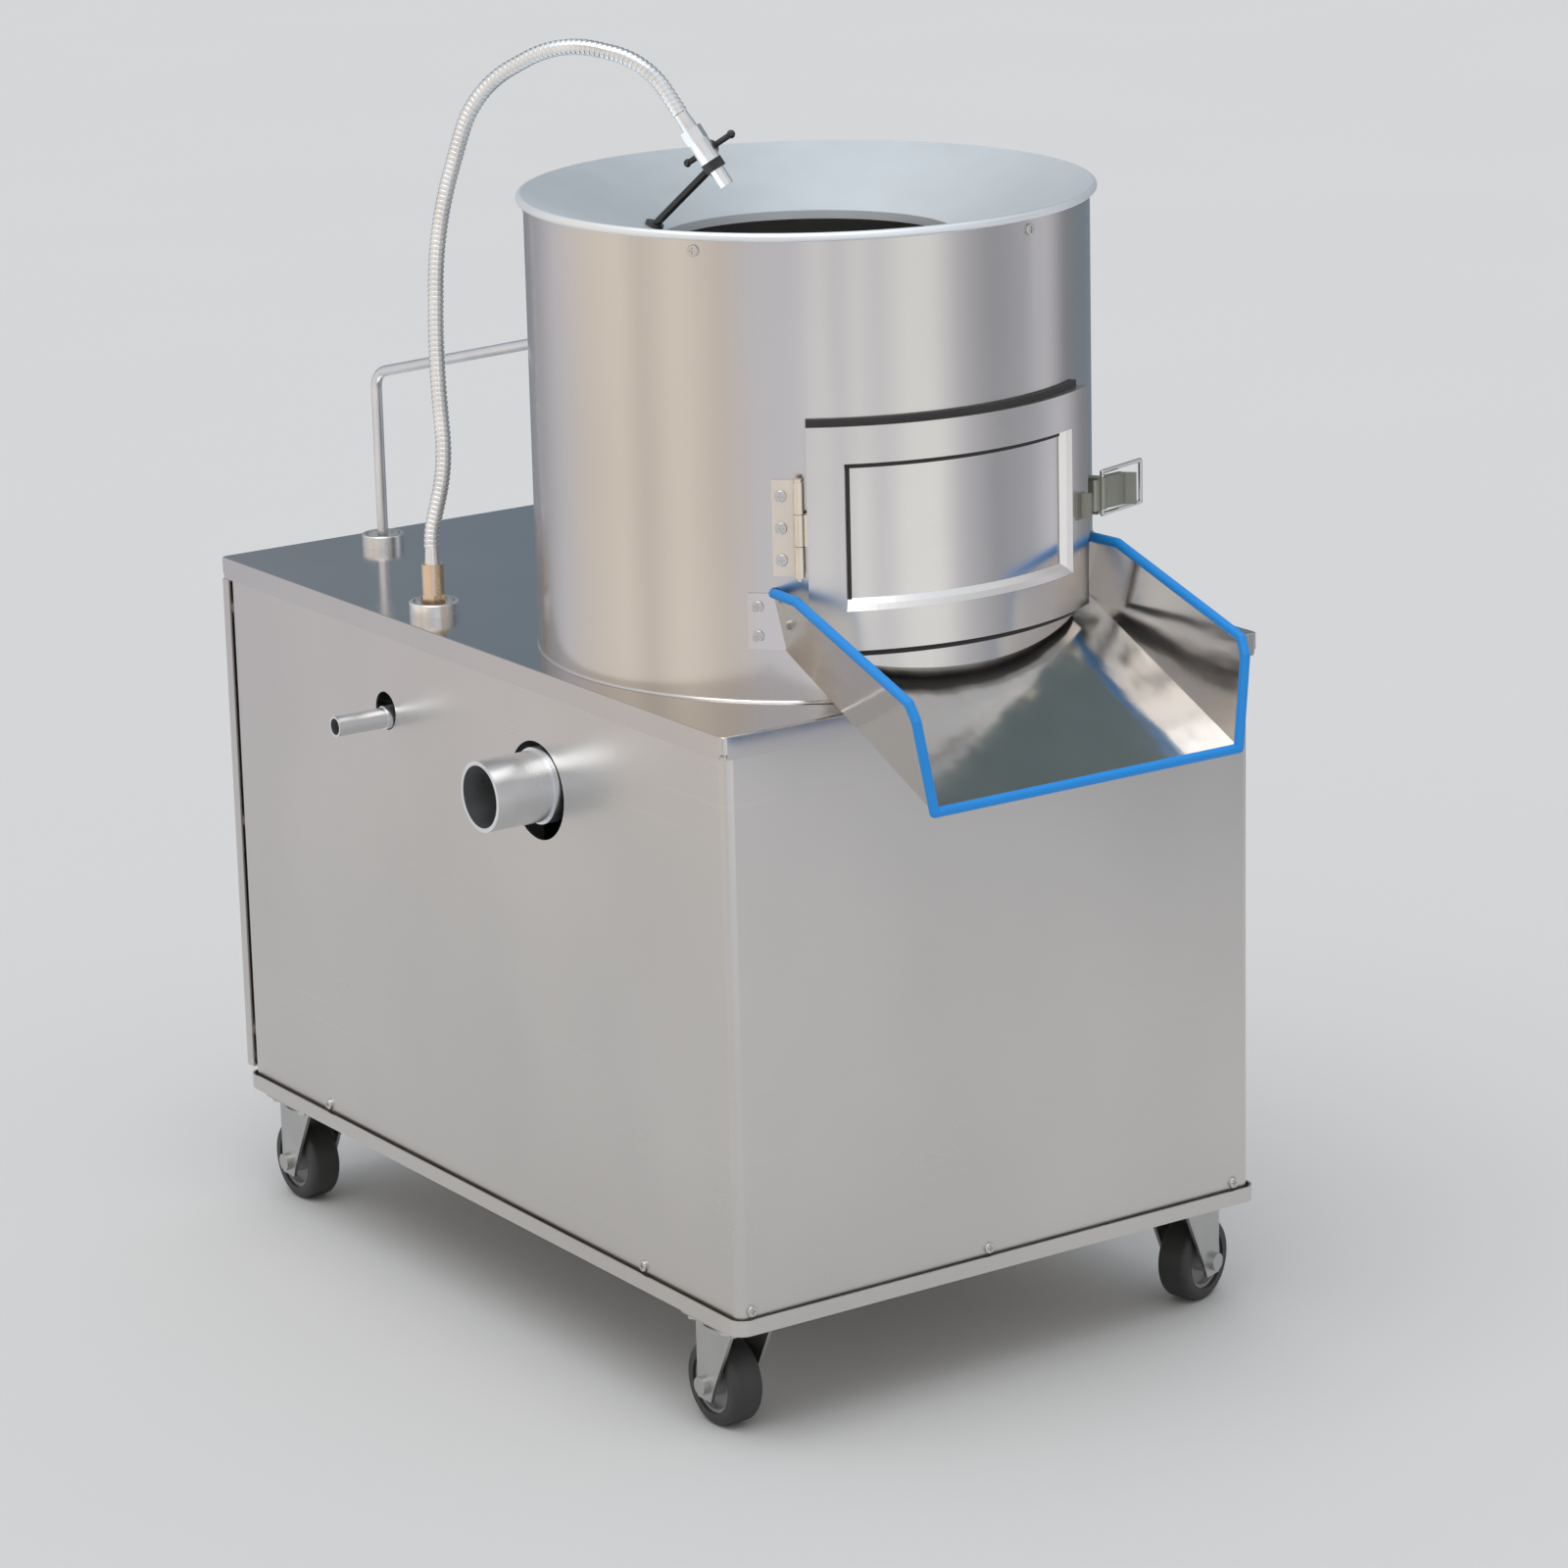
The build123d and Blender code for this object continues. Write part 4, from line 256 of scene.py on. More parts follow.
class Finish:
    """A node tree with one short way to add a node."""

    def __init__(self, tree):
        self.tree = tree
        tree.nodes.clear()

    def add(self, kind, settings=None, values=None, output=0):
        """A node of a kind: its settings come first, then values or links go to its sockets."""
        node = self.tree.nodes.new("ShaderNode" + kind)
        for key, value in (settings or {}).items():
            if key == "stops":
                self.set_stops(node.color_ramp, value)
            else:
                setattr(node, key, value)
        for key, value in (values or {}).items():
            if isinstance(value, Wire):
                self.tree.links.new(value.socket, node.inputs[key])
            else:
                node.inputs[key].default_value = value
        return Wire(self, node.outputs[output]) if node.outputs else node

    @staticmethod
    def set_stops(ramp, stops):
        """Gives a ramp its places and colours."""
        while len(ramp.elements) < len(stops):
            ramp.elements.new(1)
        for element, (place, colour) in zip(ramp.elements, stops):
            element.position, element.color = place, (*colour, 1)

    def noise(self, place, stretch, scale, detail=3.0):
        """Noise between 0 and 1 over stretched coordinates."""
        stretched = self.add("Mapping", values={"Vector": place, "Scale": stretch})
        return self.add("TexNoise", values={"Vector": stretched, "Scale": scale, "Detail": detail})

    def blend(self, share, first, second):
        """A colour between two."""
        first, second = ((*c, 1) if isinstance(c, tuple) else c for c in (first, second))
        return self.add("Mix", {"data_type": "RGBA"}, {"Factor": share, 6: first, 7: second}, output=2)

    def bump(self, height, strength, distance, under=None):
        """A normal bent by a height, on top of another normal."""
        values = {"Height": height, "Strength": strength, "Distance": distance}
        if under:
            values["Normal"] = under
        return self.add("Bump", values=values)

    def surface(self, **values):
        """The shader itself, with its sockets named by words joined with an underscore."""
        named = {key.replace("_", " ").title().replace("Ior", "IOR"): value for key, value in values.items()}
        shader = self.add("BsdfPrincipled", values=named)
        self.add("OutputMaterial", values={"Surface": shader})


unstretched = (1.0, 1.0, 1.0)


def new_finish(name):
    """A new material and its empty node tree, with the object's own coordinates."""
    material = bpy.data.materials.new(name)
    material.use_nodes = True
    finish = Finish(material.node_tree)
    return material, finish, finish.add("TexCoord", output="Object")


def shade(colour, factor):
    """A colour made brighter or darker, with no part over 1."""
    return tuple(min(1.0, part * factor) for part in colour)


def steel_sheet(name, colour, roughness, grain, ripple, mark=0.5, crinkle=0.0):
    """Stainless sheet: faint drawn grain, slow ripples, a cloudy tone that is partly uneven polish and partly
    painted mottled reflection, wiping marks and rare scratches.

    A crinkle adds short creases of its depth, as thin hand-bent sheet has."""
    material, finish, place = new_finish(name)
    fibres = finish.noise(place, grain, 1.0, 3.0)
    # The cloud noise lightens and darkens the colour in large patches: partly the sheet's uneven polish,
    # partly painted mottled reflection.
    cloud_tone_and_reflection = finish.noise(place, (1.0, 1.0, 0.7), 5.0, 3.0)
    wipe = finish.noise(place, (1.6, 1.6, 1.0), 13.0, 5.0)
    wave = finish.noise(place, (1.0, 1.0, 0.6), 6.5, 1.0)
    scratches = finish.noise(place, tuple(part * 0.35 for part in grain), 1.4, 1.0) > 0.77
    tone = finish.blend(cloud_tone_and_reflection, shade(colour, 0.86), shade(colour, 1.12))
    tone = finish.blend(fibres * 0.5, tone, shade(colour, 0.97))
    tone = finish.blend(scratches * 0.12, tone, shade(colour, 1.2))
    dull = roughness + (fibres - 0.5) * 0.05 + (wipe - 0.5) * mark * 0.22
    normal = finish.bump(wave, 1.0, ripple)
    if crinkle:
        crease = finish.noise(place, (1.0, 0.45, 1.0), 24.0, 2.0)
        normal = finish.bump(crease, 1.0, crinkle, normal)
    normal = finish.bump(fibres, 0.05, 0.00006, normal)
    finish.surface(base_color=tone, metallic=1.0, roughness=dull, normal=normal)
    return material


def plain_metal(name, colour, roughness, metallic=1.0, grit=0.00008, scale=260.0):
    """Turned, plated or cast metal with small pits and uneven polish."""
    material, finish, place = new_finish(name)
    pits = finish.noise(place, unstretched, scale, 3.0)
    stain = finish.noise(place, unstretched, 38.0, 4.0)
    tone = finish.blend(stain, shade(colour, 0.82), shade(colour, 1.12))
    dull = roughness + (stain - 0.5) * 0.2
    normal = finish.bump(pits, 0.5, grit)
    finish.surface(base_color=tone, metallic=metallic, roughness=dull, normal=normal)
    return material


def turned_metal(name, colour, roughness):
    """Metal with fine rings from the lathe, about a vertical axis or along height."""
    material, finish, place = new_finish(name)
    rings = finish.noise(place, (6.0, 6.0, 2400.0), 1.0, 2.0)
    stain = finish.noise(place, unstretched, 30.0, 3.0)
    tone = finish.blend(stain, shade(colour, 0.88), shade(colour, 1.06))
    dull = roughness + (rings - 0.5) * 0.18 + (stain - 0.5) * 0.1
    finish.surface(base_color=tone, metallic=1.0, roughness=dull, normal=finish.bump(rings, 0.3, 0.00005))
    return material


def soft_matter(name, colour, roughness, dust, grit=0.00012, scale=700.0):
    """Rubber or moulded plastic with a fine skin and dust where it is handled least."""
    material, finish, place = new_finish(name)
    skin = finish.noise(place, unstretched, scale, 2.0)
    film = finish.noise(place, unstretched, 24.0, 4.0)
    tone = finish.blend(film * dust, colour, (0.34, 0.33, 0.31))
    dull = roughness + (film - 0.5) * 0.2
    finish.surface(base_color=tone, roughness=dull, normal=finish.bump(skin, 0.4, grit))
    return material


def grit_coat(name):
    """Abrasive grain bonded in dark resin."""
    material, finish, place = new_finish(name)
    grain_values = {"Vector": place, "Scale": 520.0}
    grains = finish.add("TexVoronoi", values=grain_values)
    tint = finish.add("TexVoronoi", values=grain_values, output="Color")
    worn = finish.noise(place, unstretched, 14.0, 4.0)
    tone = finish.blend(grains * 1.4, (0.30, 0.28, 0.26), (0.05, 0.048, 0.045))
    tone = finish.blend(0.18, tone, tint)
    tone = finish.blend(worn * 0.4, tone, (0.24, 0.22, 0.20))
    finish.surface(base_color=tone, roughness=0.86, normal=finish.bump(1.0 - grains, 0.9, 0.0012))
    return material


def enamel(name, colour, roughness):
    """Sprayed paint with a faint orange peel and chips of primer."""
    material, finish, place = new_finish(name)
    peel = finish.noise(place, unstretched, 420.0, 2.0)
    chips = finish.noise(place, unstretched, 62.0, 6.0) > 0.70
    film = finish.noise(place, unstretched, 11.0, 3.0)
    tone = finish.blend(film, shade(colour, 0.85), shade(colour, 1.15))
    tone = finish.blend(chips * 0.7, tone, shade(colour, 2.2))
    normal = finish.bump(peel, 0.25, 0.0002)
    finish.surface(base_color=tone, roughness=roughness + (film - 0.5) * 0.15, normal=normal)
    return material


# Shared helpers


def dress(material, *names):
    """Gives frame nodes their finish."""
    for name in names:
        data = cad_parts[name].data
        data.materials.clear()
        data.materials.append(material)
        for polygon in data.polygons:
            polygon.material_index = 0


def colour_of(value):
    """A colour setting as a plain tuple."""
    return tuple(round(part, 5) for part in value)


def new_piece(name, vertices, faces, material, body, slot, smooth=True):
    """A mesh object in the row frame that rides on a body."""
    data = bpy.data.meshes.new(name)
    data.from_pydata(vertices, [], faces)
    data.validate()
    mesh = bmesh.new()
    mesh.from_mesh(data)
    bmesh.ops.recalc_face_normals(mesh, faces=mesh.faces)
    mesh.to_mesh(data)
    mesh.free()
    for polygon in data.polygons:
        polygon.use_smooth = smooth
    data.materials.append(material)
    piece = bpy.data.objects.new(name, data)
    bpy.context.scene.collection.objects.link(piece)
    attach(piece, body)


def ring_sweep(rings, closed):
    """Faces between rings of points of one length, round and round."""
    vertices = [point for ring in rings for point in ring]
    size, count = len(rings[0]), len(rings)
    faces = []
    for step in range(count if closed else count - 1):
        for turn in range(size):
            a, b = step * size + turn, step * size + (turn + 1) % size
            c, d = ((step + 1) % count) * size + (turn + 1) % size, ((step + 1) % count) * size + turn
            faces.append((a, b, c, d))
    if not closed:
        faces.append(tuple(range(size)))
        faces.append(tuple(reversed(range((count - 1) * size, count * size))))
    return vertices, faces


class PieceOperator:
    """What all the pieces' operators share."""
    bl_options = {"REGISTER", "UNDO"}


class PEELER_OT_cabinet(PieceOperator, bpy.types.Operator):
    """Finishes the cabinet's panel, deck, tray and rear cover"""
    bl_idname = "peeler.cabinet"
    bl_label = "Cabinet"

    def execute(self, context):
        steel = context.scene.peeler_steel
        colour, depth, dull = colour_of(steel.sheet_colour), steel.ripple_depth, steel.sheet_roughness
        panel = steel_sheet("cabinet_sheet", colour, dull, (5.0, 5.0, 620.0), depth)
        # The deck's sheet is the cabinet's sheet made darker: painted shade for the darker surroundings that
        # the polished deck reflects.
        deck = steel_sheet("deck_painted_shade_sheet", shade(colour, 0.94), dull * 0.45, (300.0, 5.0, 60.0), depth)
        tray = steel_sheet("tray_sheet", colour, dull, (5.0, 5.0, 400.0), depth)
        dress(panel, "cabinet_panel", "rear_cover")
        dress(deck, "deck_plate")
        dress(tray, "base_frame")
        return {"FINISHED"}


class PEELER_OT_drum(PieceOperator, bpy.types.Operator):
    """Finishes the drum, its funnel, lining, disc and shafts, and adds the bead round its foot"""
    bl_idname = "peeler.drum"
    bl_label = "Drum"

    def execute(self, context):
        steel, bead = context.scene.peeler_steel, context.scene.peeler_bead
        colour, depth = colour_of(steel.sheet_colour), steel.ripple_depth
        wall = steel_sheet("drum_sheet", shade(colour, 1.02), steel.drum_roughness, (150.0, 150.0, 5.0),
                           depth * 0.3, 0.2)
        # The funnel's pale blue colour is partly painted reflection of the sky above it.
        funnel = steel_sheet("funnel_sheet", colour_of(steel.funnel_sky_colour), steel.sheet_roughness * 1.7,
                             (60.0, 60.0, 60.0), depth * 0.4, 0.3)
        turned = turned_metal("turned_steel", (0.55, 0.55, 0.54), 0.3)
        dress(wall, "drum_shell")
        dress(funnel, "feed_funnel")
        dress(grit_coat("abrasive_grit"), "abrasive_lining", "peeling_disc")
        dress(turned, "disc_cap", "main_shaft", "main_bearings", "motor_shaft")
        self.foot_bead(wall, bead)
        return {"FINISHED"}

    @staticmethod
    def foot_bead(material, bead):
        """An uneven bead where the drum's wall stands on the deck, hollow in section."""
        chance, steps, arc_steps = Random(4), bead.foot_bead_steps, 6
        sunk_in_wall, sunk_in_deck, foot_share, arc_share = 0.0004, Vector((0, 0, -0.0003)), 1.15, 1.1
        centre = Vector((drum_middle.x, drum_middle.y, deck_top))
        rings, swell = [], 0.0
        for step in range(steps):
            swell += (chance.random() - 0.5 - swell * 0.5) * 0.35
            size = bead.foot_bead_radius * (1 + 0.25 * swell)
            heading = tau * step / steps
            outward = Vector((cos(heading), sin(heading), 0))
            corner = centre + outward * (drum_radius - sunk_in_wall)
            low = corner + sunk_in_deck
            ring = [low, low + outward * (foot_share * size)]
            for turn in range(1, arc_steps):
                angle = pi / 2 * turn / arc_steps
                reach = size * arc_share * (1 - 0.28 * sin(2 * angle))
                ring.append(corner + outward * (reach * cos(angle)) + Vector((0, 0, reach * sin(angle))))
            ring.append(corner + Vector((0, 0, size * foot_share)))
            rings.append([tuple(point) for point in ring])
        new_piece("drum_foot_bead", *ring_sweep(rings, True), material, "machine", "stainless_sheet")


class PEELER_OT_door(PieceOperator, bpy.types.Operator):
    """Finishes the door, hinge and latch, and adds the window's brightened ledge (painted highlight), a dark
    strip of painted shade at the window's top and left, and the seal's lip
    """
    bl_idname = "peeler.door"
    bl_label = "Door"

    def execute(self, context):
        steel, trim, door = context.scene.peeler_steel, context.scene.peeler_trim, context.scene.peeler_door
        colour, depth, dull = colour_of(steel.sheet_colour), steel.ripple_depth, steel.drum_roughness
        grain = (9.0, 9.0, 120.0)
        rim = steel_sheet("door_rim_sheet", shade(colour, 1.03), dull, grain, depth * 0.6, 0.3)
        panel = steel_sheet("door_panel_sheet", shade(colour, 1.05), dull * 0.75, grain, depth * 1.8, 0.5)
        # The ledge's sheet is the door's sheet made 30% brighter: a painted highlight for the light that the
        # sloping ledge catches.
        ledge = steel_sheet("door_ledge_painted_highlight_sheet", shade(colour, 1.3), 0.3, grain, depth * 0.3)
        rubber = soft_matter("seal_lip_rubber", colour_of(trim.rubber_colour), 0.6, 0.04)
        hinge = plain_metal("hinge_plate", colour_of(trim.hinge_colour), 0.34)
        latch = plain_metal("latch_plate", colour_of(trim.latch_colour), 0.38, 0.85)
        dress(rim, "door_frame")
        dress(panel, "door_panel")
        dress(hinge, "hinge_leaf_fixed", "hinge_leaf_door")
        dress(latch, "latch_base", "latch_lever", "latch_keeper")
        dress(plain_metal("bright_wire", (0.66, 0.66, 0.65), 0.18), "latch_bail")
        self.window_trim(ledge, rubber, door)
        self.lip(rubber, door)
        return {"FINISHED"}

    @staticmethod
    def place(stand_off, heading, height):
        """A point round the drum, by its distance from the wall, heading and height."""
        reach = drum_radius + stand_off
        return (drum_middle.x + reach * cos(heading), drum_middle.y + reach * sin(heading), height)

    @classmethod
    def window_trim(cls, steel, rubber, door):
        """The ledge round the window, steep at the top and left, and a dark strip of painted shade at those
        two sides.
        """
        low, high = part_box("door_frame")
        rim, face, width = door.rim_stand_off, door.panel_stand_off, door.ledge_width
        face_radius, narrow, crown, steps = drum_radius + face, width * 0.25, 0.0006, 28
        bottom, top = low.z + door.low_border, high.z - door.border
        half = door.half_angle - door.border / (drum_radius + rim)
        left_inset, right_inset = narrow / face_radius, width / face_radius

        def outer_and_inner(share):
            """Headings of the ledge's two edges at a share of the way from the left side to the right."""
            outer = door.heading + (2 * share - 1) * half
            return outer, outer + (1 - share) * left_inset - share * right_inset

        ledge = []
        shares = [step / steps for step in range(steps + 1)]
        for share, height, level in ([(share, bottom, bottom + width) for share in shares]
                                     + [(1 - share, top, top - narrow) for share in shares]):
            outer, inner = outer_and_inner(share)
            ledge.append([cls.place(rim, outer, height),
                          cls.place((rim + face) / 2 + crown, (outer + inner) / 2, (height + level) / 2),
                          cls.place(face, inner, level), cls.place(face, outer, height)])
        # The ledge takes the brighter sheet, a painted highlight.
        cls.add_trim("door_ledge", ledge, True, steel, "stainless_sheet")

        # Dark strip of painted shade at the window's top and left, where the recess's steep sides are shaded.
        shade_strip, back, front = [], face - door.shade_strip_depth, face + door.shade_strip_rise
        across = door.shade_strip_width / face_radius
        for share, height, drop in ([(0, bottom + width, 0.0)]
                                    + [(share, top - narrow, door.shade_strip_width) for share in shares]):
            edge = outer_and_inner(share)[1]
            side = edge + across if share == 0 else edge
            shade_strip.append([cls.place(back, edge, height), cls.place(front, edge, height),
                          cls.place(front, side, height - drop), cls.place(back, side, height - drop)])
        cls.add_trim("door_painted_shade_strip", shade_strip, False, rubber, "black_rubber")

    @classmethod
    def lip(cls, material, door):
        """The seal's round lip along the door's lower edge, tapered at both ends."""
        radius, steps, sides, end_angle, end_share = door.lip_radius, 40, 10, 0.02, 0.35
        stand_off, level = radius * 1.3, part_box("door_frame")[0].z - radius * 1.05
        turns = [tau * side / sides for side in range(sides)]
        rings = []
        for step in range(steps + 1):
            heading = door.heading + (2 * step / steps - 1) * (door.half_angle - end_angle)
            size = radius * (end_share + (1 - end_share) * min(step, steps - step, 2) / 2)
            rings.append([cls.place(stand_off + size * cos(turn), heading, level + size * sin(turn))
                          for turn in turns])
        cls.add_trim("door_seal_lip", rings, False, material, "black_rubber", True)

    @staticmethod
    def add_trim(name, rings, closed, material, slot, smooth=False):
        """A piece swept through rings, which goes with the door."""
        new_piece(name, *ring_sweep(rings, closed), material, "door", slot, smooth)


class PEELER_OT_chute(PieceOperator, bpy.types.Operator):
    """Finishes the chute's bright tray and its plastic edging"""
    bl_idname = "peeler.chute"
    bl_label = "Chute"

    def execute(self, context):
        steel, trim = context.scene.peeler_steel, context.scene.peeler_trim
        colour, depth = shade(colour_of(steel.sheet_colour), 1.1), steel.ripple_depth
        tray = steel_sheet("chute_sheet", colour, steel.chute_roughness, (40.0, 40.0, 40.0), depth * 3, 0.35,
                           depth * 1.2)
        dress(tray, "chute_tray")
        dress(soft_matter("edging_plastic", colour_of(trim.edging_colour), 0.45, 0.02), "chute_edging")
        return {"FINISHED"}


class PEELER_OT_water(PieceOperator, bpy.types.Operator):
    """Finishes the gooseneck, tap, spray pipe, inlet, drain and cable gland"""
    bl_idname = "peeler.water"
    bl_label = "Water pipes"

    def execute(self, context):
        pipe = plain_metal("pipe_tube", (0.78, 0.80, 0.82), 0.3, grit=0.00005)
        chrome = plain_metal("chrome_plate", (0.88, 0.89, 0.90), 0.26, grit=0.00003)
        dress(pipe, "water_pipe", "spray_pipe", "drain_pipe")
        dress(chrome, "gooseneck_hose", "tap_body", "deck_collars")
        dress(turned_metal("brass_ferrule", (0.80, 0.64, 0.48), 0.3), "hose_ferrule")
        dress(soft_matter("handle_plastic", (0.02, 0.02, 0.021), 0.28, 0.06), "tap_lever", "cable_gland")
        dress(enamel("rod_paint", (0.02, 0.02, 0.02), 0.35), "tap_rod")
        return {"FINISHED"}


class PEELER_OT_running_gear(PieceOperator, bpy.types.Operator):
    """Finishes the motor, belt drive, bearing carrier, inner frame and seals"""
    bl_idname = "peeler.running_gear"
    bl_label = "Running gear"

    def execute(self, context):
        trim = context.scene.peeler_trim
        cast = plain_metal("cast_iron", (0.12, 0.12, 0.12), 0.55, grit=0.0004, scale=180.0)
        rubber = soft_matter("black_rubber", colour_of(trim.rubber_colour), 0.62, 0.10)
        dress(enamel("motor_enamel", colour_of(trim.motor_colour), 0.38), "motor_body", "fan_cover")
        dress(enamel("frame_paint", (0.17, 0.175, 0.18), 0.45), "inner_frame", "motor_bracket")
        dress(cast, "bearing_carrier", "driven_pulley", "motor_pulley")
        dress(rubber, "v_belt", "shaft_seal", "door_seal")
        return {"FINISHED"}


class PEELER_OT_fasteners(PieceOperator, bpy.types.Operator):
    """Finishes the screws and bolts"""
    bl_idname = "peeler.fasteners"
    bl_label = "Fasteners"

    def execute(self, context):
        dress(plain_metal("zinc_screw", (0.63, 0.62, 0.60), 0.26), "small_screws", "hex_bolts")
        return {"FINISHED"}


class PEELER_OT_controls(PieceOperator, bpy.types.Operator):
    """Finishes the switch box and puts a stroke and a ring on its buttons"""
    bl_idname = "peeler.controls"
    bl_label = "Switch box"

    def execute(self, context):
        bead = context.scene.peeler_bead
        dress(soft_matter("switch_plastic", (0.42, 0.43, 0.44), 0.42, 0.08), "switch_box")
        dress(soft_matter("green_button", (0.01, 0.22, 0.06), 0.3, 0.03), "start_button")
        dress(soft_matter("red_button", (0.45, 0.012, 0.010), 0.3, 0.03), "stop_button")
        white = soft_matter("mark_paint", (0.75, 0.75, 0.73), 0.4, 0.05)
        for body in ("start_button", "stop_button"):
            low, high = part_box(body)
            centre = Vector((high.x, (low.y + high.y) / 2, (low.z + high.z) / 2))
            self.mark(body, centre, white, bead)
        return {"FINISHED"}

    @staticmethod
    def mark(body, centre, material, bead):
        """A stroke on the start button and a ring on the stop button, rounded on top."""
        half, out, reach = bead.mark_width / 2, bead.mark_height, bead.mark_reach
        sunk, ring_steps, stroke, rings = 0.0003, 48, body == "start_button", []
        profile = [(-half, -sunk), (-half, out * 0.6), (0.0, out), (half, out * 0.6), (half, -sunk)]
        if stroke:
            for share in (-1.0, -0.9, 0.0, 0.9, 1.0):
                rings.append([(centre.x + rise, centre.y + across, centre.z + share * reach)
                              for across, rise in profile])
        else:
            for step in range(ring_steps):
                heading = tau * step / ring_steps
                rings.append([(centre.x + rise, centre.y + (reach + across) * cos(heading),
                               centre.z + (reach + across) * sin(heading)) for across, rise in profile])
        new_piece(body + "_mark", *ring_sweep(rings, not stroke), material, body, "switch_grey")


class PEELER_OT_casters(PieceOperator, bpy.types.Operator):
    """Finishes the casters and their tyres"""
    bl_idname = "peeler.casters"
    bl_label = "Casters"

    def execute(self, context):
        trim = context.scene.peeler_trim
        zinc = plain_metal("zinc_pressing", (0.50, 0.50, 0.49), 0.32)
        tread = soft_matter("tyre_rubber", colour_of(trim.rubber_colour), 0.5, 0.12, 0.0002, 420.0)
        hub = soft_matter("hub_plastic", (0.30, 0.30, 0.31), 0.4, 0.10)
        dress(zinc, "caster_plates")
        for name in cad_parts:
            for start, finish in (("caster_fork", zinc), ("caster_tyre", tread), ("caster_hub", hub)):
                if name.startswith(start):
                    dress(finish, name)
        return {"FINISHED"}


class PEELER_OT_stage(PieceOperator, bpy.types.Operator):
    """Builds the floor, light, screens, lamp and the photograph's camera"""
    bl_idname = "peeler.stage"
    bl_label = "Stage"

    def execute(self, context):
        stage = context.scene.peeler_stage
        self.floor(stage)
        self.world(context.scene, stage)
        self.screens(stage)
        self.lamp(stage)
        self.camera(context.scene, stage)
        return {"FINISHED"}

    @staticmethod
    def floor(stage):
        """A wide pale floor with a barely uneven sheen."""
        material, finish, place = new_finish("floor_paper")
        film = finish.noise(place, unstretched, 1.5, 2.0)
        colour, half = colour_of(stage.floor_colour), 30
        tone = finish.blend(film, shade(colour, 0.99), shade(colour, 1.01))
        finish.surface(base_color=tone, roughness=0.95, specular_ior_level=0.0)
        data = bpy.data.meshes.new("floor")
        corners = [(-half, -half, 0), (half, -half, 0), (half, half, 0), (-half, half, 0)]
        data.from_pydata(corners, [], [(0, 1, 2, 3)])
        data.materials.append(material)
        floor = bpy.data.objects.new("floor", data)
        floor.location.z = cad_box[0].z
        bpy.context.scene.collection.objects.link(floor)

    @staticmethod
    def world(scene, stage):
        """Pale light all round that turns cooler overhead."""
        scene.world = bpy.data.worlds.new("studio")
        scene.world.use_nodes = True
        finish = Finish(scene.world.node_tree)
        place = finish.add("TexCoord", output="Generated")
        height = finish.add("SeparateXYZ", values={"Vector": place}, output="Z")
        wall, sky = colour_of(stage.wall_colour), colour_of(stage.sky_colour)
        stops = [(0.0, shade(wall, 0.75)), (0.08, wall), (0.55, wall), (0.9, sky)]
        colour = finish.add("ValToRGB", {"stops": stops}, {"Fac": height})
        light = finish.add("Background", values={"Color": colour, "Strength": stage.surround_strength})
        finish.add("OutputWorld", values={"Surface": light})

    @classmethod
    def screens(cls, stage):
        """A ring of soft screens and a raised dark flag, which show only in polished surfaces."""
        radius, top, floor_gap = stage.screen_radius, stage.screen_height, 0.002
        cls.screen("studio_screens", cls.screen_cloth(stage), radius, floor_gap, top, tau)
        cls.screen("studio_flag", cls.flag_cloth(), radius, top * 0.8, top * 1.7, radians(68))

    @staticmethod
    def screen_cloth(stage):
        """Warm, cool, bright and dark stretches one beside the other, fading out towards the top."""
        material, finish, place = new_finish("screen_cloth")
        x, y, z = (finish.add("SeparateXYZ", values={"Vector": place}, output=axis) for axis in "XYZ")
        heading = finish.add("Math", {"operation": "ARCTAN2"}, {0: x, 1: 0.0 - y})
        warm, cool, dark = map(colour_of, (stage.warm_colour, stage.cool_colour, stage.dark_colour))
        pale, bright, slate = shade(cool, 0.92), (0.98, 1.0, 1.0), (0.20, 0.25, 0.30)
        stops = [(0.0, dark), (0.08, pale), (0.16, warm), (0.20, shade(warm, 1.1)),
                 (0.225, shade(warm, 0.84)), (0.27, shade(warm, 1.12)), (0.32, shade(warm, 0.86)),
                 (0.35, cool), (0.40, cool), (0.415, bright), (0.435, shade(cool, 0.95)), (0.455, bright),
                 (0.475, cool), (0.50, bright), (0.535, bright), (0.56, shade(cool, 0.85)),
                 (0.60, shade(dark, 1.3)), (0.65, shade(dark, 1.6)), (0.69, cool), (0.73, shade(dark, 0.9)),
                 (0.80, slate), (0.93, slate), (1.0, dark)]
        bands = finish.add("ValToRGB", {"stops": stops}, {"Fac": heading * (1 / tau) + 0.5})
        glow = finish.add("Emission", values={"Color": bands, "Strength": 1.0})
        clear, top = finish.add("BsdfTransparent"), stage.screen_height
        fade = finish.add("MapRange", values={"Value": z, 1: top * 0.5, 2: top})
        cloth = finish.add("MixShader", values={0: fade, 1: glow, 2: clear})
        finish.add("OutputMaterial", values={"Surface": cloth})
        return material

    @staticmethod
    def flag_cloth():
        """Dark cloth with upright folds."""
        material, finish, place = new_finish("flag_cloth")
        folds = finish.noise(place, (1.0, 1.0, 0.3), 3.0)
        tone = finish.blend(folds, (0.09, 0.12, 0.13), (0.20, 0.25, 0.26))
        finish.add("OutputMaterial", values={"Surface": finish.add("Emission", values={"Color": tone})})
        return material

